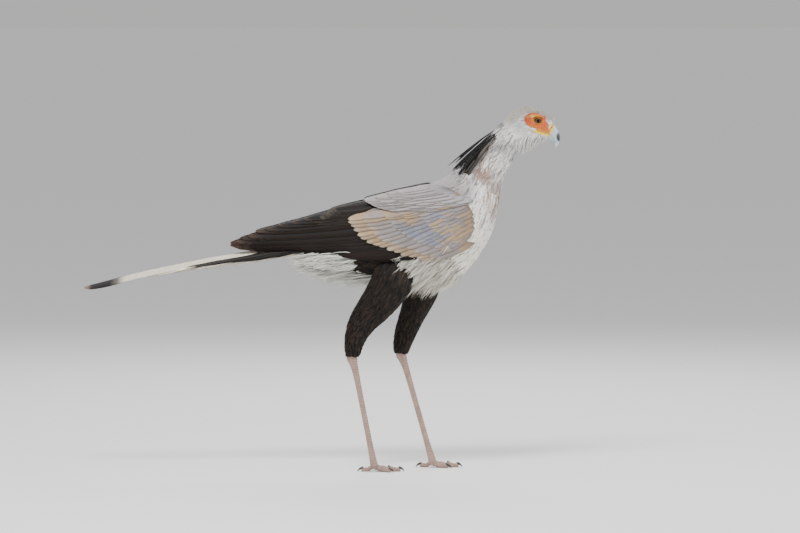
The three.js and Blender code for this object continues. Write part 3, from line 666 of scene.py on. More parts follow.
def spread_roots(surface, ends, spacing, arc, seed):
    """Staggered, jittered root places on a round surface: (place, turn) arrays."""
    rng = random_for(seed)
    places, turns = [], []
    place = ends[0]
    row = 0
    probe = np.linspace(arc[0], arc[1], 25)
    flank = np.array([90.0])
    while place <= ends[1]:
        ring = surface(np.full(25, place), probe)
        girth = np.linalg.norm(np.diff(ring, axis=0), axis=1)
        mark = np.concatenate([[0], np.cumsum(girth)])
        count = max(int(mark[-1] / spacing), 3)
        at = (np.arange(count) + 0.5 * (row % 2) + rng.uniform(-0.22, 0.22, count)) / count
        turns.append(np.interp(at % 1.0 * mark[-1], mark, probe))
        ahead = surface(np.array([place + 0.1]), flank) - surface(np.array([place]), flank)
        step = max(np.linalg.norm(ahead), 1e-3)
        places.append(place + rng.uniform(-0.22, 0.22, count) * spacing * 0.1 / step)
        place += spacing * 0.62 * 0.1 / step
        row += 1
    return np.concatenate(places), np.concatenate(turns)


def surface_lines(surface, place, turn, length, swing, rows, sink, lift, towards=-1, droop=0.0):
    """Centre lines that follow a surface from their roots, and its normals along them."""
    e = 0.05
    here = surface(place, turn)
    step = np.linalg.norm(surface(place + e, turn) - here, axis=-1) / e
    girth = np.linalg.norm(surface(place, turn + 2) - here, axis=-1) / 2
    t = row_places(rows)[None]
    length = length[:, None]
    p = place[:, None] + towards * length * np.cos(swing)[:, None] * t / step[:, None]
    a = turn[:, None] + length * np.sin(swing)[:, None] * t / girth[:, None]
    normals = normals_of(surface, p, a)
    rise = lerp(-sink, lift, smooth(t / 0.45)) + droop * t ** 2
    return surface(p, a) + normals * rise[..., None], normals


def tint_rows(base, edge, tip, rows, rng, spread=0.1, edge_share=0.35, shaft=0.0):
    """Colours for (N, rows, 3): each vane's base colour, paler or darker edges and a tip."""
    shade = 1 + rng.uniform(-spread, spread, (len(base), 1, 1))
    to_tip = smooth((row_places(rows) - 0.7) / 0.3)[None, :, None]
    middle = base[:, None, :] * shade * (1 - to_tip) + tip[:, None, :] * to_tip
    sides = middle * (1 - edge_share) + edge[:, None, :] * edge_share
    return np.stack([sides, middle * (1 - shaft), sides], 2)


# Markings, shared by the skin and its feathers

# Ovals of bare skin in side view: x, z, half length, half height, tilt in degrees
FACE_OVALS = ((556, 909, 29, 20, 12), (575, 898, 21, 13, 32), (581, 882, 24, 9.5, 21))
GAPE_SLOPE = 0.36  # how much the line of the mouth falls for each millimetre forward
GAPE_CORNER_X = 541
FEATHER_FRONT_X = 592.5
CERE_FRONT_X = 600.5


def ahead_of(edge_x, x, z):
    """How far a point is ahead of the slanted line across the bill's root through edge_x."""
    return (x - edge_x) * 0.88 - (z - 884) * 0.47


def off_back(turn):
    """Degrees from the back line, to either side."""
    return np.abs((np.asarray(turn) + 180) % 360 - 180)


def in_face(x, z, grow):
    """True where the bare orange skin is, in side view."""
    inside = np.zeros(np.shape(x), bool)
    for cx, cz, long, high, tilt in FACE_OVALS:
        a = math.radians(tilt)
        dx, dz = x - cx, z - cz
        u = dx * math.cos(a) - dz * math.sin(a)
        v = dx * math.sin(a) + dz * math.cos(a)
        inside |= (u / (long + grow)) ** 2 + (v / (high + grow)) ** 2 < 1
    return inside


def face_or_bill(roots, turn):
    x, z = roots[..., 0], roots[..., 2]
    side = off_back(turn)
    mouth = (np.abs(z - (888 - (x - GAPE_CORNER_X) * GAPE_SLOPE)) < 2.6) & (x > 540)
    face = in_face(x, z, -1.0) & (side > 20) & (side < 160)
    return face | (ahead_of(FEATHER_FRONT_X, x, z) > 0) | mouth


def in_thigh(roots, turn=None):
    x, y, z = roots[..., 0], roots[..., 1], roots[..., 2]
    return (x > 110) & (x < 232) & (z < 592) & (np.abs(y) > 26)


def blotches(points, scale, seed):
    """Smooth random values, 0 to 1, that vary over space."""
    rng = random_for(seed)
    total = np.zeros(points.shape[:-1])
    for k in range(5):
        wave = rng.normal(size=3) / scale * (1 + 0.4 * k)
        total += np.sin(points @ wave + rng.uniform(0, 6.28))
    return 0.5 + total / 8


def body_colour(points, place, turn):
    """The plumage's colour on the head, neck and body."""
    x, y, z = points[..., 0], points[..., 1], points[..., 2]
    off = off_back(turn)
    grey = blotches(points, 14, 1)
    colour = mix(BREAST_WHITE, WHITE, smooth((place - 6) / 2))
    mantle = smooth((100 - off) / 25) * smooth((9.2 - place) / 1.6)
    colour = mix(colour, MANTLE_GREY, mantle)
    rear = smooth((62 - off) / 20) * smooth((3.3 - place) / 1.0)
    colour = mix(colour, DUSK, rear)
    neck = smooth((place - 7.5) / 2) * smooth((14.5 - place) / 2)
    colour = mix(colour, STREAK_GREY, neck * smooth((grey - 0.5) / 0.3) * 0.6)
    nape_tan = np.exp(-((place - 9.9) / 0.9) ** 2 - ((off - 78) / 38) ** 2)
    front_tan = np.exp(-((place - 8.8) / 0.8) ** 2) * smooth((off - 100) / 30)
    colour = mix(colour, TAN, 0.95 * nape_tan * smooth((grey - 0.15) / 0.3))
    colour = mix(colour, TAN, 0.85 * front_tan * smooth((grey - 0.2) / 0.3))
    crown = smooth((place - 12.5) / 1.5) * smooth((78 - off) / 25)
    colour = mix(colour, CROWN_GREY, 0.9 * crown)
    thigh = smooth((x - 104) / 10) * smooth((232 - x) / 10) * smooth((590 - z) / 10)
    colour = mix(colour, SHIN_BLACK, thigh * smooth((np.abs(y) - 24) / 12))
    ear = np.exp(-(((x - 522) / 20) ** 2 + ((z - 900) / 17) ** 2))
    return mix(colour, EAR_GREY, 0.9 * ear * smooth((place - 12) / 1))


# Skin: one surface for the head, neck, torso and feathered shins

COAT_DEPTH = 3.0
SHIN_COAT_DEPTH = 2.5


def build_skin():
    def inner(place, turn):
        depth = COAT_DEPTH * (1 - 0.6 * smooth((place - 12.5) / 1.5))
        return body_surface(place, turn) - normals_of(body_surface, place, turn) * depth[..., None]

    parts = [tube(inner, np.linspace(0.02, 19.98, 260), 96)]
    points, _, place, turn = parts[0]
    # The under layer takes the plumage's colour darkened to 0.8: painted shade between the feathers.
    shade = body_colour(points, place, turn) * 0.8
    x, z = points[:, 0], points[:, 2]
    lips = np.exp(-(((z - 889 + (x - GAPE_CORNER_X) * GAPE_SLOPE) / 6) ** 4))
    colours = [mix(shade, GAPE_YELLOW, lips * smooth((x - 534) / 6))]
    bake = [bake_place(place, turn, BODY_BOX)]
    for name, side in SIDES.items():
        surface = limb_surface(SHINS[name], side)

        def shin(place, turn, surface=surface):
            return surface(place, turn) - normals_of(surface, place, turn) * SHIN_COAT_DEPTH

        parts.append(tube(shin, np.linspace(0.05, 7.95, 60), 40))
        points, _, place, turn = parts[-1]
        # The shins' under layer is their black darkened to 0.8: painted shade between the feathers.
        colours.append(np.tile(SHIN_BLACK * 0.8, (len(points), 1)))
        bake.append(bake_place(place * 2.5, turn, SHIN_BOX[name]))
    points, faces = join(parts)
    uvs = {"OFBake": np.concatenate(bake)}
    skin = new_mesh("skin", points, faces, SKIN, np.concatenate(colours), uvs)
    keep(skin, "body_feathers", "torso", "neck_lower", "neck_upper", "head", "shin_left",
         "shin_right")


# Body feathers


def coat_group(name, ends, arc, spacing, length, half, seed, rows=5, sink=2.2, lift=1.8,
               shape=feather_shape, swing=0.12, skip=None, edge=None, material=SOFT, camber=0.25,
               spread=0.1, edge_share=0.3, droop=0.0, thick=0.5, shaft=0.0, speck=0.0, tone=None):
    """A field of body feathers between two stations and two turns from the back line."""
    rng = random_for(100 + seed)
    place, turn = spread_roots(body_surface, ends, spacing, arc, seed)
    roots = body_surface(place, turn)
    if skip is not None:
        stay = ~skip(roots, turn)
        place, turn, roots = place[stay], turn[stay], roots[stay]
    count = len(place)
    size = rng.uniform(0.82, 1.2, count)
    run = (length(place) if callable(length) else length) * size
    lean = rng.normal(0, swing, count)
    lines, normals = surface_lines(body_surface, place, turn, run, lean, rows, sink, lift,
                                   droop=droop)
    wide = (half(place) if callable(half) else half) * size
    base = body_colour(roots, place, turn)
    if tone is not None:
        base = mix(*tone, rng.uniform(-0.5, 0.6, count))
    dark = (rng.uniform(0, 1, count) < speck) * rng.uniform(0.3, 0.9, count)
    base = mix(base, STREAK_GREY, dark)
    rim = base * 1.06 if edge is None else np.broadcast_to(edge, base.shape)
    colours = tint_rows(base, rim, base * 1.05, rows, rng, spread, edge_share, shaft)
    lay_body_vanes(name, lines, normals, wide, colours, place, turn, camber, thick, material,
                   shape)


def build_body_feathers():
    coat_group("head_feathers", (12.3, 19.97), (-180, 180), 2.9, fade(14.0, 6.5, 13, 4), 2.0, 1,
               rows=4, sink=0.8, lift=0.5, skip=face_or_bill, swing=0.14, shape=lance_shape,
               thick=0.16, edge_share=0.45, edge=CREAM, speck=0.14, camber=0.1)
    coat_group("neck_feathers", (8.0, 13.2), (-180, 180), 5.2, fade(34.0, 22.0, 8, 5),
               fade(3.9, 2.3, 9, 3.5), 2, sink=1.5, lift=1.6, shape=lance_shape, swing=0.16,
               spread=0.16, thick=0.2, droop=1.2, speck=0.3, camber=0.14)
    coat_group("breast_feathers", (3.0, 8.6), (100, 260), 9.0, 36.0, 8.5, 3, sink=2.5, lift=2.2,
               swing=0.2, spread=0.07, droop=2.0)
    coat_group("side_feathers", (5.6, 8.6), (-105, 105), 9.5, 34.0, 8.0, 4, swing=0.14)
    for k, (side_arc, wrist_arc) in enumerate((((58, 138), (88, 150)), ((-138, -58), (-150, -88)))):
        coat_group(f"breast_side_feathers_{k}", (6.6, 8.8), side_arc, 7.5, 40.0, 6.5, 16 + k,
                   rows=6, lift=9.0, shape=lance_shape, speck=0.15)
        coat_group(f"wrist_feathers_{k}", (5.5, 7.0), wrist_arc, 6.5, 38.0, 5.5, 18 + k,
                   rows=6, lift=9.0, swing=0.14, shape=lance_shape, speck=0.1)
    coat_group("back_feathers", (0.1, 6.4), (-62, 62), 12.0, 42.0, 11.0, 5, material=STIFF,
               spread=0.09, edge=MANTLE_GREY * 1.25, shaft=0.12)
    coat_group("flank_feathers", (0.6, 4.6), (98, 262), 10.0, 46.0, 9.5, 6, lift=2.6,
               swing=0.22, spread=0.06, droop=3.0, skip=in_thigh)
    for k, arc in enumerate(((92, 158), (-158, -92))):
        coat_group(f"upper_thigh_feathers_{k}", (1.5, 4.6), arc, 7.0, 38.0, 5.5, 13 + k,
                   lift=3.0, swing=0.3, droop=3.0, shape=lance_shape, material=DARK,
                   tone=(SHIN_BLACK, SHIN_BROWN), skip=lambda roots, turn: ~in_thigh(roots))


def build_beard():
    rng = random_for(7)
    place, turn = spread_roots(body_surface, (12.8, 18.3), 4.2, (128, 232), 8)
    count = len(place)
    rows = 6
    roots = body_surface(place, turn)
    normals = normals_of(body_surface, place, turn)
    down = unit(np.array([-0.26, 0.0, -1.0]) + 0.35 * normals * [1, 1, 0.2]
                + rng.normal(0, 0.09, (count, 3)))
    long = lerp(34.0, 13.0, smooth((place - 14) / 4)) * lerp(0.5, 1, smooth((place - 12.6) / 1.2))
    long = (long * rng.uniform(0.6, 1.15, count))[:, None, None]
    t = row_places(rows)[None, :, None]
    lines = (roots - normals * 1.5)[:, None] + down[:, None] * t * long
    lines = lines + np.array([-1.0, 0, -0.35]) * (t ** 2) * 0.12 * long
    side = np.where(normals[:, 1:2] < 0, -1.0, 1.0) * np.array([[0.0, 1.0, 0.0]])
    face = unit(side + rng.normal(0, 0.5, (count, 3)))
    base = WHITE * rng.uniform(0.9, 1.06, (count, 1))
    colours = tint_rows(base, base * 0.9, base, rows, rng, 0.06)
    lay_body_vanes("beard", lines, face, rng.uniform(1.3, 2.6, count), colours, place, turn,
                   0.2, 0.4)


def build_nasal_tuft():
    """Short feathers that lie up and back from the cere's upper edge, over the forehead's end."""
    rng = random_for(8)
    count = 260
    rows = 5
    turn = rng.uniform(-125, 125, count)
    place = np.full(count, len(BODY) - 1.0)
    middle = centre_of(body_surface, place)
    reach = body_surface(place, turn) - middle
    share = np.sqrt(rng.uniform(0.0, 1.0, count))[:, None]
    out = unit(reach) * share
    roots = middle + reach * share
    low_z, high_z = BODY[-1][3], BODY[-1][1]
    slope = lerp(0.45, -0.75, smooth(((roots[:, 2] - low_z) / (high_z - low_z) - 0.4) / 0.5))
    way = np.stack([slope, 0.45 * out[:, 1], np.ones(count)], -1)
    way = unit(way + rng.normal(0, 0.09, (count, 3)))
    face = unit(np.stack([np.ones(count), 0.8 * out[:, 1], -slope], -1))
    t = row_places(rows)[None, :, None]
    run = rng.uniform(5.0, 7.5, count)[:, None, None]
    lines = (roots - 0.5 * face)[:, None] + way[:, None] * t * run
    lines = lines + face[:, None] * (1.2 * smooth(t / 0.4)) + np.array([-0.22, 0, 0]) * run * t ** 2
    base = mix(WHITE, CROWN_GREY, rng.uniform(0.1, 0.6, count))
    colours = tint_rows(base, base * 1.1, base * 1.1, rows, rng, 0.08)
    lay_body_vanes("nasal_tuft", lines, face, rng.uniform(0.8, 1.3, count), colours, place, turn,
                   0.1, 0.2)


def build_locks(name, ends, arc, spacing, long, half, ahead, spread, out, sag, tone, seed):
    """Loose soft locks that hang free of the body from roots on it."""
    rng = random_for(seed)
    place, turn = spread_roots(body_surface, ends, spacing, arc, seed)
    roots = body_surface(place, turn)
    stay = (roots[:, 0] < 108) | (roots[:, 0] > 214) | (np.abs(roots[:, 1]) < 22)
    stay &= (place < 5.8) | (np.abs(turn - 180) < 48)
    place, turn, roots = place[stay], turn[stay], roots[stay]
    count = len(place)
    rows = 6
    normals = normals_of(body_surface, place, turn)
    drift = np.stack([blotches(roots, 8, seed + k) - 0.5 for k in (20, 30, 40)], -1)
    way = np.array(ahead) + out * normals + drift * spread * 5
    way = unit(way + rng.normal(0, spread * 0.35, (count, 3)))
    t = row_places(rows)[None, :, None]
    run = rng.uniform(*long, count)[:, None, None]
    lines = (roots - normals * 2)[:, None] + way[:, None] * t * run
    lines = lines + np.array([-0.3, 0.0, -1.0]) * sag * run * t ** 2
    sway = rng.normal(0, 0.06, (count, 1, 3)) * run
    lines = lines + sway * np.sin(t * rng.uniform(2, 4, (count, 1, 1)))
    base = tone * rng.uniform(0.86, 1.04, (count, 1))
    colours = tint_rows(base, base * 1.04, base * 1.05, rows, rng, 0.05)
    face = unit(normals + rng.normal(0, 0.35, (count, 3)))
    lay_body_vanes(name, lines, face, rng.uniform(*half, count), colours, place, turn, 0.3, 0.4)


def build_vent():
    """Long soft plumes under the tail, and fluff that hangs from the belly."""
    build_locks("vent_plumes", (0.3, 3.0), (110, 250), 4.2, (55, 105), (1.2, 2.8),
                (-1.0, 0.0, 0.10), 0.11, 0.14, 0.10, srgb(236, 236, 226), 10)
    build_locks("belly_locks", (3.4, 7.2), (108, 252), 4.7, (28, 54), (0.8, 2.0),
                (-0.85, 0.0, -0.4), 0.15, 0.24, 0.25, BREAST_WHITE, 12)


def spatula_shape(t):
    tip = np.clip((t - 0.86) / 0.14, 0, 1)
    return lerp(0.16, 1.0, smooth((t - 0.2) / 0.5)) * lerp(0.1, 1.0, np.sqrt(1 - tip * tip))


def build_crest():
    """Quills from the nape that widen to spatulate tips."""
    rng = random_for(11)
    count = 26
    rows = 12
    s = np.repeat(np.linspace(0, 1, count // 2), 2)
    side = np.tile([1.0, -1.0], count // 2)
    place = 12.45 - 0.35 * rng.uniform(0, 1, count)
    turn = side * lerp(4, 50, s) + rng.normal(0, 2, count)
    roots = body_surface(place, turn)
    normals = normals_of(body_surface, place, turn)
    ends = np.stack([lerp(330.0, 362.0, s), side * lerp(6, 58, s), lerp(792.0, 758.0, s)], -1)
    shorter = np.tile([0.0, 0.04, 0.22, 0.3, 0.08, 0.12, 0.34, 0.4], 4)[:count]
    ends = ends + (roots - ends) * shorter[:, None] + rng.normal(0, 3.0, (count, 3))
    middle = (roots + ends) / 2 + normals * lerp(7, 12, s)[:, None]
    t = row_places(rows)[None, :, None]
    lines = bezier((roots - normals * 3)[:, None], middle[:, None], ends[:, None], t)
    back, up = np.full(count, -0.5), np.full(count, 0.8)
    facing = unit(np.stack([back, side * lerp(0.1, 1.1, s), up], -1))
    base = mix(CREST_BLACK, CREST_GREY, (s > 0.75) * rng.uniform(0, 0.8, count))
    colours = tint_rows(base, base * 1.6 + 0.01, base * 0.8, rows, rng, 0.15, 0.3)
    lay_body_vanes("crest", lines, facing, rng.uniform(5.0, 6.6, count), colours, place, turn,
                   0.25, 1.0, DARK, spatula_shape)


def build_shins():
    for k, (name, side) in enumerate(SIDES.items()):
        surface = limb_surface(SHINS[name], side)
        rng = random_for(30 + k)
        place, turn = spread_roots(surface, (0.1, 7.3), 6.2, (-180, 180), 31 + k)
        count = len(place)
        run = lerp(40.0, 20.0, place / 8) * rng.uniform(0.8, 1.25, count)
        lines, normals = surface_lines(surface, place, turn, run, rng.normal(0, 0.2, count), 5,
                                       2.0, 2.5, towards=1, droop=2.5)
        lowest = HOCK_HEIGHT - 9 + rng.uniform(0, 6, (count, 1))
        lines[..., 2] = np.maximum(lines[..., 2], lowest)
        base = mix(SHIN_BLACK, SHIN_BROWN, rng.uniform(-0.6, 0.55, count))
        colours = tint_rows(base, base * 1.25, base * 1.1, 5, rng, 0.2)
        spots = bake_place(place * 2.5, turn, SHIN_BOX[name])
        vanes = lay_vanes(f"shin_feathers_{name}", lines, normals, rng.uniform(3.6, 6, count),
                          colours, spots, DARK, lance_shape, 0.3, 0.5)
        keep(vanes, "leg_feathers")


# Wings

WING_FRONT = 420
WING_REAR = 150
WING_TOP = [(60, 684), (130, 708), (220, 728), (300, 738), (370, 724), (420, 690)]
WING_BOTTOM = [(60, 598), (130, 580), (220, 572), (300, 580), (370, 596), (420, 634)]
WING_LEAD = [(380, 722), (396, 706), (406, 688), (409, 664), (400, 636)]
WING_JITTER = 1.5
WING_CAMBER = 0.06
VANE_THICK = 0.7
FLIGHT_ROOTS = [(146, 690), (160, 672), (178, 655), (198, 639), (218, 624), (238, 609), (256, 595),
                (272, 583), (286, 572), (300, 563)]
FLIGHT_TIPS = [(-45, 655), (-108, 642), (-160, 627), (-200, 611), (-226, 597), (-238, 586),
               (-205, 577), (-120, 572), (-10, 567), (100, 560)]
SCAPULAR_ROOTS = [(235, 722), (262, 712), (290, 704), (345, 692)]
SCAPULAR_TIPS = [(113, 702), (130, 690), (165, 683), (262, 680)]


def word_for(side):
    return "left" if side > 0 else "right"


def line_at(points, s):
    return read_at(points, s * (len(points) - 1))


def wing_spot(x, z, side):
    """A place on the folded wing, inside its box of the map."""
    box = WING_BOX[word_for(side)]
    across = lerp(box[0], box[2], (x + 250) / 700)
    return np.stack([across, lerp(box[1], box[3], (z - 540) / 220)], -1)


def wing_vanes(name, side, count, roots, tips, half, lift, fan=0.0, sunk=5, rows=8, shingle=1.2,
               seed=0, colour=None, material=STIFF):
    """A row of feathers that lie on the folded wing, each lower one tucked under the last."""
    rng = random_for(seed)
    s = np.linspace(0, 1, count)
    root = line_at(roots, s) + rng.normal(0, WING_JITTER, (count, 2))
    tip = line_at(tips, s) + rng.normal(0, WING_JITTER, (count, 2))
    run = np.linalg.norm(tip - root, axis=-1)
    along = (tip - root) / run[:, None]
    across = np.stack([-along[:, 1], along[:, 0]], -1) * np.where(along[:, :1] < 0, -1, 1)
    t = row_places(rows)
    u = np.array([-1.0, -0.5, 0.0, 0.5, 1.0])
    wide = half * feather_shape(t)
    size = rng.uniform(0.94, 1.06, count)
    off = size[:, None, None] * wide[None, :, None] * u
    far = run[:, None, None] * t[None, :, None]
    x, z = (root[:, k, None, None] + along[:, k, None, None] * far
            + across[:, k, None, None] * off for k in (0, 1))
    z = under_top(x, z)
    rise = lerp(-sunk, lift, smooth(t / 0.3))[None, :, None] + (fan * s)[:, None, None]
    rise = rise - shingle * u - WING_CAMBER * half * u ** 2 + VANE_THICK / 2
    thin = VANE_THICK / 2 * thinning(t)[None, :, None]
    upper = on_shell(x, z, rise, side)
    lower = on_shell(x[..., 1:4], z[..., 1:4], rise[..., 1:4] - 2 * thin, side)
    points = np.concatenate([upper, lower[:, :, ::-1]], 2)
    around = np.array([0, 1, 2, 3, 4, 3, 2, 1])
    tints = colour(rng, s, t, u, x, z)[:, :, around]
    # The vane's lower side is darkened to 0.7: painted shade on its underside.
    tints[:, :, 5:] *= 0.7
    vane = np.stack([off, np.broadcast_to(far, off.shape)], -1)[:, :, around] / 2
    patch = bake_patch(wing_spot(*root.T, side), u[around], t)
    piece = new_mesh(f"{name}_{word_for(side)}", points, grid_faces(rows, len(around), count),
                     material, tints, {"vane": vane, "OFBake": patch})
    keep(piece, "wing_feathers")


def on_rim(t, u, start, gain):
    """How much each point lies on its vane's edge or tip."""
    return np.clip(np.abs(u) - start, 0, 1) * gain + smooth((t - 0.9) / 0.1)[None, :, None]


def flight_colour(rng, s, t, u, x, z):
    shade = rng.uniform(0.75, 1.25, (len(s), 1, 1, 1))
    return mix(FLIGHT_BLACK, FLIGHT_EDGE, on_rim(t, u, 0.55, 1.1) * 0.55) * shade


def wing_tone(x, z):
    """The wing's ground colour: slate blue in the middle, warm above it and lilac in front."""
    colour = mix(COVERT_GREY, COVERT_LILAC, smooth((x - 300) / 90))
    warm = np.exp(-(((x - 221) / 46) ** 2 + ((z - 660) / 17) ** 2))
    spots = blotches(np.stack([x, 0 * x, z], -1), 17, 91)
    return mix(colour, BUFF, warm + smooth((spots - 0.56) / 0.2) * 0.7)


def covert_colour(buff_share, rim=0.5, ground=None, tip_buff=0.0):
    def colour(rng, s, t, u, x, z):
        own = (rng.uniform(0, 1, len(s)) < buff_share) * rng.uniform(0.4, 0.95, len(s))
        tone = rng.uniform(0.84, 1.08, (len(s), 1, 1, 1))
        share = own[:, None, None] + tip_buff * smooth((t - 0.35) / 0.4)[None, :, None]
        base = mix(wing_tone(x, z) if ground is None else ground, BUFF, share)
        base = mix(base, PALE_EDGE, on_rim(t, u, 0.6, 1.6) * rim)
        # Each vane is darkened by up to half towards its root: painted shade under the feather that lies
        # over it.
        return base * tone * (1 - 0.5 * (1 - smooth(t / 0.5))[None, :, None, None])

    return colour


def wing_core(side):
    """The wing's own body, which the feathers stand in."""
    t, u = np.meshgrid(np.linspace(0, 1, 30), np.linspace(-1, 1, 16), indexing="ij")
    x = lerp(WING_FRONT, WING_REAR, t)
    z = lerp(heights(WING_BOTTOM, x), heights(WING_TOP, x), (u + 1) / 2)
    deep = lerp(26, 7, smooth(t)) * lerp(0.3, 1, np.sqrt(1 - np.abs(u) ** 3))
    outer = on_shell(x, z, np.full_like(x, -2.5), side)
    inner = on_shell(x, z, -2.5 - deep, side)
    points = capped(np.concatenate([outer, inner[:, ::-1]], 1))
    x, z = points[..., 0], points[..., 2]
    # Black at the rear like the flight feathers over it, and the coverts' lilac at half brightness in
    # front: painted shade where the core shows between the feathers.
    tint = mix(SHIN_BLACK, COVERT_LILAC * 0.5, smooth((x - 250) / 100))
    core = new_mesh(f"wing_core_{word_for(side)}", points, grid_faces(*points.shape[:2]), SKIN,
                    tint, {"OFBake": wing_spot(x, z, side)})
    keep(core, "wing_feathers", f"wing_{word_for(side)}")


def build_wing(side):
    wing_core(side)
    wing_vanes("flight_feathers", side, 17, FLIGHT_ROOTS, FLIGHT_TIPS, 15.5, -2.0, -6.5,
               sunk=8, rows=16, shingle=2.2, seed=41, colour=flight_colour, material=DARK)
    wing_vanes("inner_flight_feathers", side, 7, [(160, 700), (175, 684), (190, 668)],
               [(30, 682), (5, 668), (-20, 650)], 17, -0.5, -1.5, sunk=8, rows=12, shingle=1.6,
               seed=42, colour=covert_colour(0.0, 0.12, TERTIAL_BROWN), material=DARK)
    greater = {"roots": [(215, 686), (225, 668), (248, 655), (285, 642), (330, 625), (376, 606)],
               "tips": [(70, 656), (86, 630), (112, 602), (160, 584), (212, 566), (262, 553)]}
    wing_vanes("greater_coverts", side, 15, greater["roots"], greater["tips"], 13.5, 1.0, sunk=6,
               rows=10, shingle=1.5, seed=43, colour=covert_colour(0.4, 0.5, None, 0.85))
    wing_vanes("mid_greater_coverts", side, 14,
               [(x + 38, z + 3) for x, z in greater["roots"]],
               [(x + 36, z + 5) for x, z in greater["tips"]], 12.5, 2.4, sunk=5, rows=9,
               shingle=1.3, seed=44, colour=covert_colour(0.3, 0.5, None, 0.35))
    median = {"roots": [(270, 690), (290, 674), (318, 662), (352, 648), (392, 625)],
              "tips": [(168, 664), (190, 634), (230, 608), (275, 592), (322, 576)]}
    wing_vanes("median_coverts", side, 14, median["roots"], median["tips"], 12, 3.8, sunk=5,
               rows=8, shingle=1.2, seed=45, colour=covert_colour(0.15, 0.5))
    for k in range(4):
        share = (k + 1) / 4.4
        root = [(lerp(p[0], q[0], share), lerp(p[1], q[1], share))
                for p, q in zip(median["roots"], WING_LEAD)]
        tips = [(lerp(p[0], q[0] - 46, share), lerp(p[1], q[1] - 14 - 4 * j, share))
                for j, (p, q) in enumerate(zip(median["tips"], WING_LEAD))]
        wing_vanes(f"lesser_coverts_{k}", side, 14 - k, root, tips, 11 - k, 4.6 + 0.3 * k,
                   sunk=4.5, rows=7, shingle=1.0, seed=46 + k,
                   colour=covert_colour(0.2 + 0.1 * k, 0.5))
    for k in range(4):
        dx, dz = 29 * k, 8 * k
        wing_vanes(f"scapulars_{k}", side, 11 - k,
                   [(min(x + dx, 398), z + dz * 0.8) for x, z in SCAPULAR_ROOTS],
                   [(x + dx, z + dz * 0.75) for x, z in SCAPULAR_TIPS],
                   12 - 1.5 * k, 5.4 + 0.8 * k, sunk=5, rows=9, shingle=1.2, seed=52 + k,
                   colour=covert_colour(0.1, 0.45, mix(MANTLE_GREY, COVERT_GREY, 0.12)))


# Tail

TAIL_TILT = math.radians(27)
# The end's x and the half breadth of each pair of feathers, from the middle outwards
TAIL_PAIRS = [(-617, 17), (-448, 19), (-400, 19), (-352, 20), (-318, 20), (-290, 20), (-236, 20),
              (-182, 19)]


def tail_bands(x, u, end, central):
    """The tail's bars along the bird: black towards the root, then pale. The central pair has a
    black bar near the end and a rusty tip."""
    streak = 0.5 + 0.5 * np.sin(u * 9.0 + x * 0.02)
    pale = mix(TAIL_CREAM, TAIL_BEIGE, 0.6 * streak)
    if central:
        bar = smooth((x - end - 14) / 6) * (1 - smooth((x - end - 86) / 8))
        colour = mix(pale, TAIL_BLACK, bar)
        colour = mix(colour, TAIL_BLACK, 0.8 * smooth((x + 120) / 30))
        return mix(colour, TAIL_RUST, (1 - smooth((x - end - 14) / 8)) * 0.8)
    black = smooth((x - end - 95 - 12 * u) / 12)
    line = np.exp(-((np.abs(u) - 0.82) / 0.1) ** 2) * (1 - smooth((x + 110) / 20))
    return mix(pale, TAIL_BLACK, black * (1 - 0.3 * line))


def build_tail():
    rng = random_for(60)
    rows = 26
    u = np.linspace(-1, 1, 7)
    around = np.r_[np.arange(7), np.arange(5, 0, -1)]
    t = row_places(rows)[:, None]
    parts, tints, vane, patch = [], [], [], []
    for i, (end, half) in enumerate(TAIL_PAIRS):
        for side in SIDES.values():
            x = lerp(TAIL_LINE[0][0], end, t)
            reach = half * feather_shape(t, 0.55, 0.15, 0.86)
            off = half * math.cos(TAIL_TILT) * lerp(0.6, 1, smooth(t / 0.3)) + 0.5 + 1.6 * i
            px = x + 3 * np.abs(u) * (t > 0.98)
            py = side * (off + u * reach * math.cos(TAIL_TILT))
            arch = -1.6 * u ** 2 * (reach / half) - 1.5 * smooth((t - 0.75) / 0.25)
            pz = heights(TAIL_LINE[::-1], x) - 2.0 * i - u * reach * math.sin(TAIL_TILT) + arch
            thin = 0.45 * thinning(t)
            upper = np.stack([px, py, pz + thin], -1)
            lower = np.stack([px, py, pz - thin], -1)[:, 1:-1][:, ::-1]
            points = np.concatenate([upper, lower], 1).reshape(-1, 3)
            parts.append((points, grid_faces(rows, len(around))))
            tints.append((tail_bands(px, u, end, i == 0) * rng.uniform(0.9, 1.08))[:, around])
            vane.append(np.stack([u * reach, -px], -1)[:, around] / 2)
            slot = (2 * i + (side + 1) / 2 + 0.5) / (2 * len(TAIL_PAIRS))
            across = lerp(TAIL_BOX[0], TAIL_BOX[2], slot) + 0.009 * u[around]
            down = lerp(TAIL_BOX[1], TAIL_BOX[3], 0.02 + 0.96 * t)
            patch.append(np.stack(np.broadcast_arrays(across, down), -1))
    points, faces = join(parts)
    uvs = {"vane": np.concatenate(vane), "OFBake": np.concatenate(patch)}
    tail = new_mesh("tail_feathers", points, faces, STIFF, np.concatenate(tints), uvs)
    keep(tail, "tail_feathers", "tail")


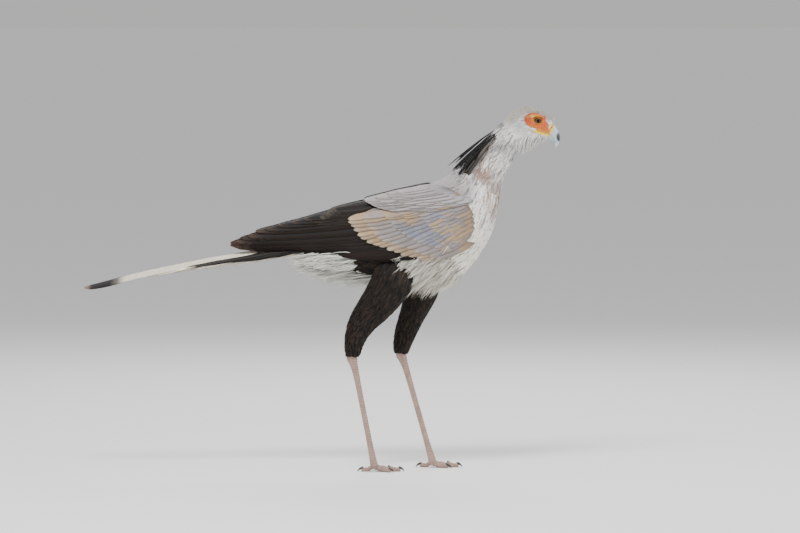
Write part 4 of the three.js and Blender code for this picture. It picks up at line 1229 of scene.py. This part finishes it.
def build_tail_coverts():
    """Short feathers that cover the tail's root, above and below."""
    rng = random_for(61)
    count = 120
    start = rng.uniform(-60, 30, count)
    turn = rng.uniform(-180, 180, count)
    a = np.radians(turn)
    taper = lerp(1.0, 0.4, (30 - start) / 90)
    root = np.stack([start, np.sin(a) * 27 * taper, 582 + 0.1 * start + np.cos(a) * 19 * taper], -1)
    normal = unit(np.stack([0 * a, np.sin(a), np.cos(a)], -1))
    rows = 7
    t = row_places(rows)[None, :, None]
    long = rng.uniform(45, 80, count)[:, None, None]
    along = unit(np.array([-1.0, 0, -0.14]) + rng.normal(0, 0.04, (count, 3)))[:, None]
    lines = root[:, None] + along * t * long + normal[:, None] * (4.0 * smooth(t * 2) - 2.5)
    above = smooth((95 - np.abs(turn)) / 20)
    base = mix(srgb(214, 208, 190), TAIL_GREY * 0.55, above)
    colours = tint_rows(base, base * 1.2, base * 1.15, rows, rng, 0.15)
    spot = np.stack([lerp(0.62, 0.99, (start + 60) / 90), lerp(0.52, 0.6, (turn + 180) / 360)], -1)
    coverts = lay_vanes("tail_coverts", lines, normal, rng.uniform(7, 11, count), colours, spot,
                        SOFT, feather_shape, 0.3, 0.6)
    keep(coverts, "tail_feathers")


# Bare legs and feet

SHANK_PLATE = 7.0
TOE_PLATE = 4.6
CLAW_CURL = math.radians(64)


def shank_stations(name):
    hock, foot = HOCK_X[name], FOOT_X[name]

    def at(share, deep, wide, back=0):
        x = lerp(hock, foot, share) - back
        y = lerp(LEG_Y, LEG_Y - 2, share)
        return (x, y, lerp(HOCK_HEIGHT - 2, ANKLE_HEIGHT, share), deep, wide)

    return [
        at(-0.045, 9, 9),
        at(-0.015, 12, 10.5, 2),
        at(0.03, 13.5, 11, 2.5),
        at(0.09, 10, 8.5, 1),
        at(0.2, 8, 7),
        at(0.5, 7.2, 6.2),
        at(0.8, 7.6, 6.8),
        at(0.93, 9, 9.5),
        at(1, 10, 12),
        at(1.025, 8, 10),
    ]


def scutes(length_at, pitch, depth, front):
    """Height of overlapping plates. The share in front says how far they stand out."""
    step = (length_at / pitch) % 1.0
    plate = np.where(step < 0.86, 0.35 + 0.65 * step / 0.86, 0.35 * (1 - step) / 0.14)
    return depth * plate * front


def groove_of(count):
    """How much each point lies in the groove between two plates."""
    step = count % 1.0
    return np.exp(-((step - 0.92) / 0.1) ** 2)


def shank_front(turn):
    return smooth((np.cos(np.radians(turn)) + 0.35) / 0.5)


def build_leg(name, side):
    base = limb_surface(shank_stations(name), side)

    def skin(place, turn):
        points = base(place, turn)
        front = shank_front(turn)
        fold = scutes(points[..., 2], SHANK_PLATE, 0.7, front)
        small = 0.25 * np.sin(points[..., 2] * 1.9) * np.sin(np.radians(turn) * 11) * (1 - front)
        return points + normals_of(base, place, turn) * (fold + small - 0.3)[..., None]

    parts = [tube(skin, np.linspace(0.02, 8.98, 560), 56)]
    points, _, _, turn = parts[0]
    shade = mix(LEG_BACK, LEG_FRONT, 0.5 + 0.5 * blotches(points, 20, 70))
    # The grooves between the shank's plates are painted darker on its front: painted shade in the
    # recesses.
    groove_shade = 0.75 * shank_front(turn) * groove_of(points[:, 2] / SHANK_PLATE)
    colours = [mix(shade, GROOVE_SHADE, groove_shade)]
    for toe_name, (heading, length, thick, claw) in TOES.items():
        a = math.radians(heading)
        ahead = np.array([math.cos(a), side * math.sin(a), 0.0])
        over = np.array([-ahead[1], ahead[0], 0.0])
        up = np.array([0.0, 0.0, 1.0])
        start = np.array([FOOT_X[name], side * (LEG_Y - 2), 0.0]) + ahead * 3

        def toe(place, turn, start=start, ahead=ahead, over=over, length=length, thick=thick):
            t = np.asarray(place)
            pad = 1 + 0.1 * np.cos(6 * math.pi * t)
            close = np.sqrt(np.maximum(1 - np.clip((t - 0.9) / 0.1, 0, 1) ** 2, 0.04))
            radius = thick * lerp(1.15, 0.8, t) * pad * close
            height = lerp(ANKLE_HEIGHT - 4, radius * 0.86, smooth(t / 0.4))
            b = np.radians(turn)
            top = np.cos(b)
            plates = scutes(t * length, TOE_PLATE, 0.55, smooth((top - 0.1) / 0.4))
            pads = 0.25 * np.sin(t * length * 2.4) * np.sin(b * 9) * (top < 0)
            r = radius + plates + pads
            points = (start + ahead * (t * length)[..., None] + up * (height + r * top)[..., None]
                      + over * (r * 1.05 * np.sin(b))[..., None])
            points[..., 2] = np.maximum(points[..., 2], 0.15)
            return points

        parts.append(tube(toe, np.linspace(0, 1, 110), 36))
        points, _, along, turn = parts[-1]
        top = smooth((np.cos(np.radians(turn)) - 0.1) / 0.4)
        shade = mix(LEG_BACK, LEG_FRONT, 0.4 + 0.6 * blotches(points, 12, 71))
        # The grooves between the toe's plates are painted darker on its top: painted shade in the
        # recesses.
        colours.append(mix(shade, GROOVE_SHADE, 0.75 * top * groove_of(along * length / TOE_PLATE)))

        bend = claw / CLAW_CURL
        root = start + ahead * (length - 5)

        def nail(place, turn, root=root, ahead=ahead, over=over, bend=bend):
            t = np.asarray(place)
            c = t * CLAW_CURL
            b = np.radians(turn)
            width = lerp(4.1, 0.7, t ** 1.2)
            centre = (root + ahead * (bend * np.sin(c))[..., None]
                      + up * (9.4 - bend * (1 - np.cos(c)))[..., None])
            high = ahead * np.sin(c)[..., None] + up * np.cos(c)[..., None]
            points = (centre + high * (width * np.cos(b))[..., None]
                      + over * (0.8 * width * np.sin(b))[..., None])
            points[..., 2] = np.maximum(points[..., 2], 0.1)
            return points

        points, faces, _, _ = tube(nail, np.linspace(0, 1, 30), 24)
        pale = mix(CLAW_DARK, srgb(80, 70, 62), blotches(points, 4, 72) * 0.6)
        piece = new_mesh(f"claw_{toe_name}_{name}", points, faces, CLAW_HORN, pale)
        keep(piece, "claw", f"{toe_name}_claw_{name}")
    points, faces = join(parts)
    leg = new_mesh(f"leg_skin_{name}", points, faces, SCALES, np.concatenate(colours))
    nodes = [f"shank_{name}", *[f"{toe_name}_{name}" for toe_name in TOES]]
    keep(leg, "scaled_skin", *nodes)


# Bill, face and eyes

EYE_TILT = math.radians(10)
LID_WIDE = 8.4
LID_HIGH = 6.0
NOSTRIL_X = 598.5
NOSTRIL_Z = 890.5
NOSTRIL_TILT = math.radians(36)
GAPE_ROWS = 60
GAPE_RING = 20


def nostril_at(x, z):
    """A point's place along and across the slit of the nostril."""
    a = NOSTRIL_TILT
    dx, dz = x - NOSTRIL_X, z - NOSTRIL_Z
    return dx * math.cos(a) + dz * math.sin(a), -dx * math.sin(a) + dz * math.cos(a)


def build_bill():
    upper = section_surface(UPPER_BILL)

    def horn(place, turn):
        points = upper(place, turn)
        n = normals_of(upper, place, turn)
        x, z = points[..., 0], points[..., 2]
        u, v = nostril_at(x, z)
        slit = np.exp(-((u / 4.6) ** 4) - (v / 1.2) ** 2)
        rim = np.exp(-((u / 6.0) ** 4) - ((np.abs(v) - 2.4) / 1.2) ** 2)
        step = smooth(ahead_of(CERE_FRONT_X, x, z) / 2.0)
        return points + n * (-2.2 * slit + 0.5 * rim - 0.5 * step)[..., None]

    points, faces, _, _ = tube(horn, np.linspace(0, 7, 180), 120)
    x, y, z = points.T
    ahead = ahead_of(CERE_FRONT_X, x, z)
    colour = mix(CERE_YELLOW, BILL_BLUE, smooth((ahead + 2) / 5))
    tomium = smooth((z - (868 - (x - 590) * 0.75)) / -4) * smooth((606 - x) / 6)
    colour = mix(colour, GAPE_YELLOW, tomium * 0.9)
    colour = mix(colour, BILL_TIP, smooth((852 - z) / 10))
    black = np.exp(-(((x - 617.5) / 6.5) ** 2 + ((z - 866) / 12.5) ** 2) ** 3)
    colour = mix(colour, BILL_BLACK, black)
    u, v = nostril_at(x, z)
    slit = np.exp(-((u / 4.8) ** 4) - (v / 1.3) ** 2)
    # The nostril's slit is painted dark brown: painted shade in its hollow.
    colour = mix(colour, srgb(30, 18, 12), slit * (np.abs(y) > 4))
    parts, tints = [(points, faces)], [colour]
    for side in SIDES.values():
        t = np.linspace(0, 1, GAPE_ROWS)
        root = np.array([602.0, side * 7.0, 866.5])
        tip = np.array([538.5, side * 27.0, 889.5])
        bow = np.array([-6.0, side * 9.5, -2.0])
        middle = (root + tip) / 2 + bow
        spine = bezier(root, middle, tip, t[:, None])
        along = unit(np.gradient(spine, axis=0))
        out = unit(np.cross(along, np.cross(np.array([0.25, side, -0.1]), along)))
        up = np.cross(out, along) * side
        up *= np.sign(up[:, 2:3])
        ring = ring_angles(GAPE_RING)
        tall = 0.3 + lerp(3.1, 2.0, t) * smooth(t / 0.35) * smooth((1 - t) / 0.2)
        deep = 0.3 + 1.9 * smooth(t / 0.4) * smooth((1 - t) / 0.2)
        p = (spine[:, None] + up[:, None] * (tall[:, None] * np.sin(ring))[..., None]
             + out[:, None] * (deep[:, None] * np.cos(ring))[..., None])
        parts.append((p.reshape(-1, 3), grid_faces(GAPE_ROWS, GAPE_RING)))
        tints.append(np.tile(GAPE_YELLOW, (GAPE_ROWS * GAPE_RING, 1)))
    points, faces = join(parts)
    bill = new_mesh("bill_upper_and_cere", points, faces, HORN, np.concatenate(tints))
    keep(bill, "bill", "bill_upper", "cere")
    lower = section_surface(LOWER_BILL)
    points, faces, _, _ = tube(lower, np.linspace(0, 5, 70), 60)
    shade = mix(GAPE_YELLOW, BILL_BLUE, smooth((points[:, 0] - 580) / 8))
    shade = mix(shade, srgb(120, 122, 128), smooth((866 - points[:, 2]) / 8) * 0.5)
    jaw = new_mesh("bill_lower_horn", points, faces, HORN, shade)
    keep(jaw, "bill", "bill_lower")


def head_side(x, z, side, lift):
    """The point on the head's flank seen at x, z from the side, lifted along the normal."""
    places = np.linspace(12, 20, 240)
    turns = np.linspace(2, 178, 150)
    place, turn = np.meshgrid(places, turns, indexing="ij")
    cloud = body_surface(place, turn).reshape(-1, 3)
    normals = normals_of(body_surface, place, turn).reshape(-1, 3)
    flat = np.stack([np.ravel(x), np.ravel(z)], -1)
    out, way = np.empty((len(flat), 3)), np.empty((len(flat), 3))
    for k, (px, pz) in enumerate(flat):
        d = (cloud[:, 0] - px) ** 2 + (cloud[:, 2] - pz) ** 2
        near = np.argpartition(d, 6)[:6]
        w = 1 / (d[near] + 0.05)
        w /= w.sum()
        out[k] = [px, (cloud[near, 1] * w).sum(), pz]
        way[k] = (normals[near] * w[:, None]).sum(0)
    out = out + unit(way) * np.ravel(lift)[:, None]
    return out * np.array([1.0, side, 1.0])


def lid_radius(angle):
    """How far the lids' oval opening reaches at an angle round the eye."""
    return 1 / np.sqrt((np.cos(angle) / LID_WIDE) ** 2 + (np.sin(angle) / LID_HIGH) ** 2)


def build_face(name, side):
    """Bare skin round the eye: rings from the lids out to the patch's edge."""
    rays, rings = 96, 34
    angle = ring_angles(rays)
    c, s = np.cos(angle), np.sin(angle)
    opening = lid_radius(angle) * (1 + 0.10 * np.abs(c) ** 6)
    reach = np.zeros(rays)
    for k in range(rays):
        steps = np.linspace(6, 50, 200)
        inside = in_face(EYE[0] + steps * c[k], EYE[2] + steps * s[k], 1.0)
        reach[k] = steps[inside].max() if inside.any() else 12
    t = np.linspace(0, 1, rings) ** 1.2
    r = opening[None] * (1 - t)[:, None] + reach[None] * t[:, None]
    slope = math.sin(-EYE_TILT) * (1 - t)[:, None]
    x = EYE[0] + r * c[None]
    z = EYE[2] + r * s[None] + slope * r * c[None]
    d = r - opening[None]
    lid = 3.4 * np.exp(-((d - 1.3) / 1.7) ** 2) + 1.1 * np.exp(-((d - 5.0) / 1.4) ** 2)
    crease = -1.0 * np.exp(-((d - 3.4) / 0.9) ** 2)
    brow = 3.6 * np.exp(-((s[None] * r - 9.5) / 3.2) ** 2) * smooth((c[None] + 0.9) / 0.8) * (s[None] > 0)
    folds = 0.45 * np.sin(angle[None] * 26 + 2.5 * np.sin(d)) * smooth(d / 6) * (1 - t[:, None])
    folds = folds + 0.3 * np.sin(d * 1.9 + np.sin(angle[None] * 5)) * smooth((d - 5) / 4)
    edge = lerp(1.0, -1.2, smooth((t - 0.8) / 0.2))[:, None]
    lift = lid + crease + brow + folds + edge
    points = head_side(x, z, side, lift).reshape(rings, rays, 3)
    ball = np.array([EYE[0], side * EYE[1], EYE[2]])
    away = points[0] - ball
    inner = ball + unit(away) * (EYE_RADIUS + 0.15)
    tuck = ball + unit(away * [1, 0.75, 1]) * (EYE_RADIUS + 0.2)
    points = np.concatenate([tuck[None], inner[None] + (points[0] - inner)[None] * 0.35, points])
    faces = grid_faces(len(points), rays)
    dd = np.concatenate([np.zeros((2, rays)), d])
    ss, cc = np.tile(s, (rings + 2, 1)), np.tile(c, (rings + 2, 1))
    rr = np.concatenate([np.full((2, rays), 7.0), r])
    brow_part = np.exp(-((ss * rr - 10.5) / 3.5) ** 2) * smooth((0.75 - cc) / 0.6)
    ring = np.exp(-((dd - 1.5) / 4.6) ** 2)
    colour = mix(ORANGE, ORANGE_YELLOW, 0.8 * ring)
    colour = mix(colour, FACE_PINK, 0.7 * smooth((-cc * rr - 8) / 12) * smooth(ss * rr / 8))
    colour = mix(colour, GAPE_YELLOW, 0.7 * brow_part)
    px, pz = points[..., 0], points[..., 2]
    low_front = smooth((893 - pz - 0.36 * (px - 556)) / 5)
    low_front = np.maximum(low_front, smooth((px - 587) / 5) * smooth((897 - pz) / 5))
    colour = mix(colour, CERE_YELLOW, low_front)
    rim_line = smooth((np.concatenate([np.zeros(2), t]) - 0.83) / 0.05)[:, None]
    rim_line = rim_line * smooth((ss - 0.1) / 0.25) * np.exp(-(((cc - 0.35) / 0.6) ** 4))
    colour = mix(colour, BILL_BLACK, rim_line)
    colour = mix(colour, ORANGE_DEEP, 0.7 * smooth((-cc * rr - 12) / 10) * smooth(ss + 0.6))
    colour = mix(colour, ORANGE_PALE, 0.5 * smooth((-ss * rr - 6) / 8))
    # Dark brown at the lids' inner edge and where they tuck against the eyeball: painted shade in the
    # gap.
    colour = mix(colour, srgb(40, 20, 12), 0.9 * (1 - smooth(dd / 1.6)))
    # Darker orange along the lid's crease: painted shade in the fold.
    colour = mix(colour, ORANGE_DEEP * 0.5, 0.45 * np.exp(-((dd - 3.4) / 1.0) ** 2))
    piece = new_mesh(f"face_{name}", points, faces, FACE, colour)
    keep(piece, "face_skin", f"face_skin_{name}")
    build_lashes(name, side)


def build_lashes(name, side):
    """Stiff black lashes over the eye."""
    rng = random_for(80)
    count = 26
    a = np.linspace(math.radians(12), math.radians(158), count)
    r = lid_radius(a) + 1.4
    x = EYE[0] + r * np.cos(a)
    z = EYE[2] + r * np.sin(a) - math.sin(EYE_TILT) * r * np.cos(a)
    roots = head_side(x, z, side, np.full(count, 3.2))
    rows = 7
    t = row_places(rows)[None, :, None]
    long = rng.uniform(7, 12, count)[:, None, None]
    way = unit(np.stack([0.9 * np.cos(a) + 0.1, np.full(count, side), np.full(count, 0.55)], -1))
    lines = roots[:, None] + way[:, None] * t * long
    lines[..., 2] += (1.5 * t[..., 0] ** 2)
    facing = np.broadcast_to(np.array([0.0, 0.0, 1.0]), lines.shape)
    colours = np.tile(BILL_BLACK, (count, rows, 3, 1))
    spot = np.stack([0.65 + 0.01 * np.arange(count), np.full(count, 0.31)], -1)
    lashes = lay_vanes(f"lashes_{name}", lines, facing, np.full(count, 0.6), colours, spot, CLAW_HORN,
                       lance_shape, 0.0, 0.6)
    keep(lashes, "body_feathers")


def build_eye(name, side):
    gaze = unit(np.array([0.26, side, -0.02]))
    right = unit(np.cross(gaze, [0, 0, 1.0]))
    up = np.cross(right, gaze)
    rows, cols = 90, 96
    polar = np.linspace(0.0005, math.pi - 0.0005, rows)
    p, a = np.meshgrid(polar, ring_angles(cols), indexing="ij")
    bulge = EYE_RADIUS * (1 + 0.045 * np.exp(-((p / 0.55) ** 2)))
    points = (gaze * (bulge * np.cos(p))[..., None] + right * (bulge * np.sin(p) * np.cos(a))[..., None]
              + up * (bulge * np.sin(p) * np.sin(a))[..., None])
    points = points + np.array([EYE[0], side * EYE[1], EYE[2]])
    edge = np.degrees(p)
    fibres = 0.5 + 0.5 * np.sin(a * 46 + 3 * np.sin(a * 7))
    # The iris is paler low down and darker brown at the top: painted shadow from the brow.
    low = smooth(0.5 - 0.7 * np.sin(a))
    iris = mix(srgb(92, 64, 40), srgb(150, 132, 106), fibres * 0.3 + 0.7 * low)
    iris = mix(iris, srgb(96, 76, 54), np.exp(-((edge - 27) / 3.5) ** 2))
    colour = mix(iris, srgb(10, 8, 8), 1 - smooth((edge - 25) / 2.5))
    colour = mix(colour, srgb(24, 18, 14), smooth((edge - 44) / 5))
    eye = new_mesh(f"eyeball_{name}", points, grid_faces(rows, cols), EYE_SURFACE,
                   colour)
    keep(eye, "eye", f"eye_{name}")


# Stage


def build_stage():
    bpy.ops.mesh.primitive_plane_add(size=400, location=(0, 0, -0.0005))
    floor = bpy.context.object
    floor.name = "floor"
    material, _, shader = principled("floor", 0.75)
    shader.inputs["Base Color"].default_value = (0.86, 0.855, 0.84, 1)
    floor.data.materials.append(material)
    world = bpy.data.worlds.new("world")
    world.use_nodes = True
    background = world.node_tree.nodes["Background"]
    links = world.node_tree.links
    way = add_node(world.node_tree, "ShaderNodeTexCoord")
    split = add_node(world.node_tree, "ShaderNodeSeparateXYZ")
    links.new(way.outputs["Generated"], split.inputs[0])
    sky = [(0.0, (0.69, 0.69, 0.68)), (0.02, (0.69, 0.69, 0.68)), (0.25, (0.82, 0.83, 0.84))]
    links.new(ramp_node(world.node_tree, split.outputs[2], sky), background.inputs[0])
    background.inputs[1].default_value = 0.78
    bpy.context.scene.world = world
    for name, place, size, power in (
        ("key", (-0.6, -2.6, 3.9), 1.3, 230),
        ("fill", (3.8, -0.6, 1.4), 2.2, 70),
        ("rim", (0.4, 3.0, 3.0), 2.2, 90),
    ):
        data = bpy.data.lights.new(name, "AREA")
        data.size = size
        data.energy = power
        light = bpy.data.objects.new(name, data)
        bpy.context.scene.collection.objects.link(light)
        light.location = place
        light.rotation_mode = "QUATERNION"
        light.rotation_quaternion = (Vector(place) - Vector((0.1, 0, 0.6))).to_track_quat("Z", "Y")


build_skin()
build_body_feathers()
build_beard()
build_nasal_tuft()
build_vent()
build_crest()
build_shins()
for each_side in SIDES.values():
    build_wing(each_side)
build_tail()
build_tail_coverts()
build_bill()
for side_name, side_sign in SIDES.items():
    build_leg(side_name, side_sign)
    build_face(side_name, side_sign)
    build_eye(side_name, side_sign)
build_stage()
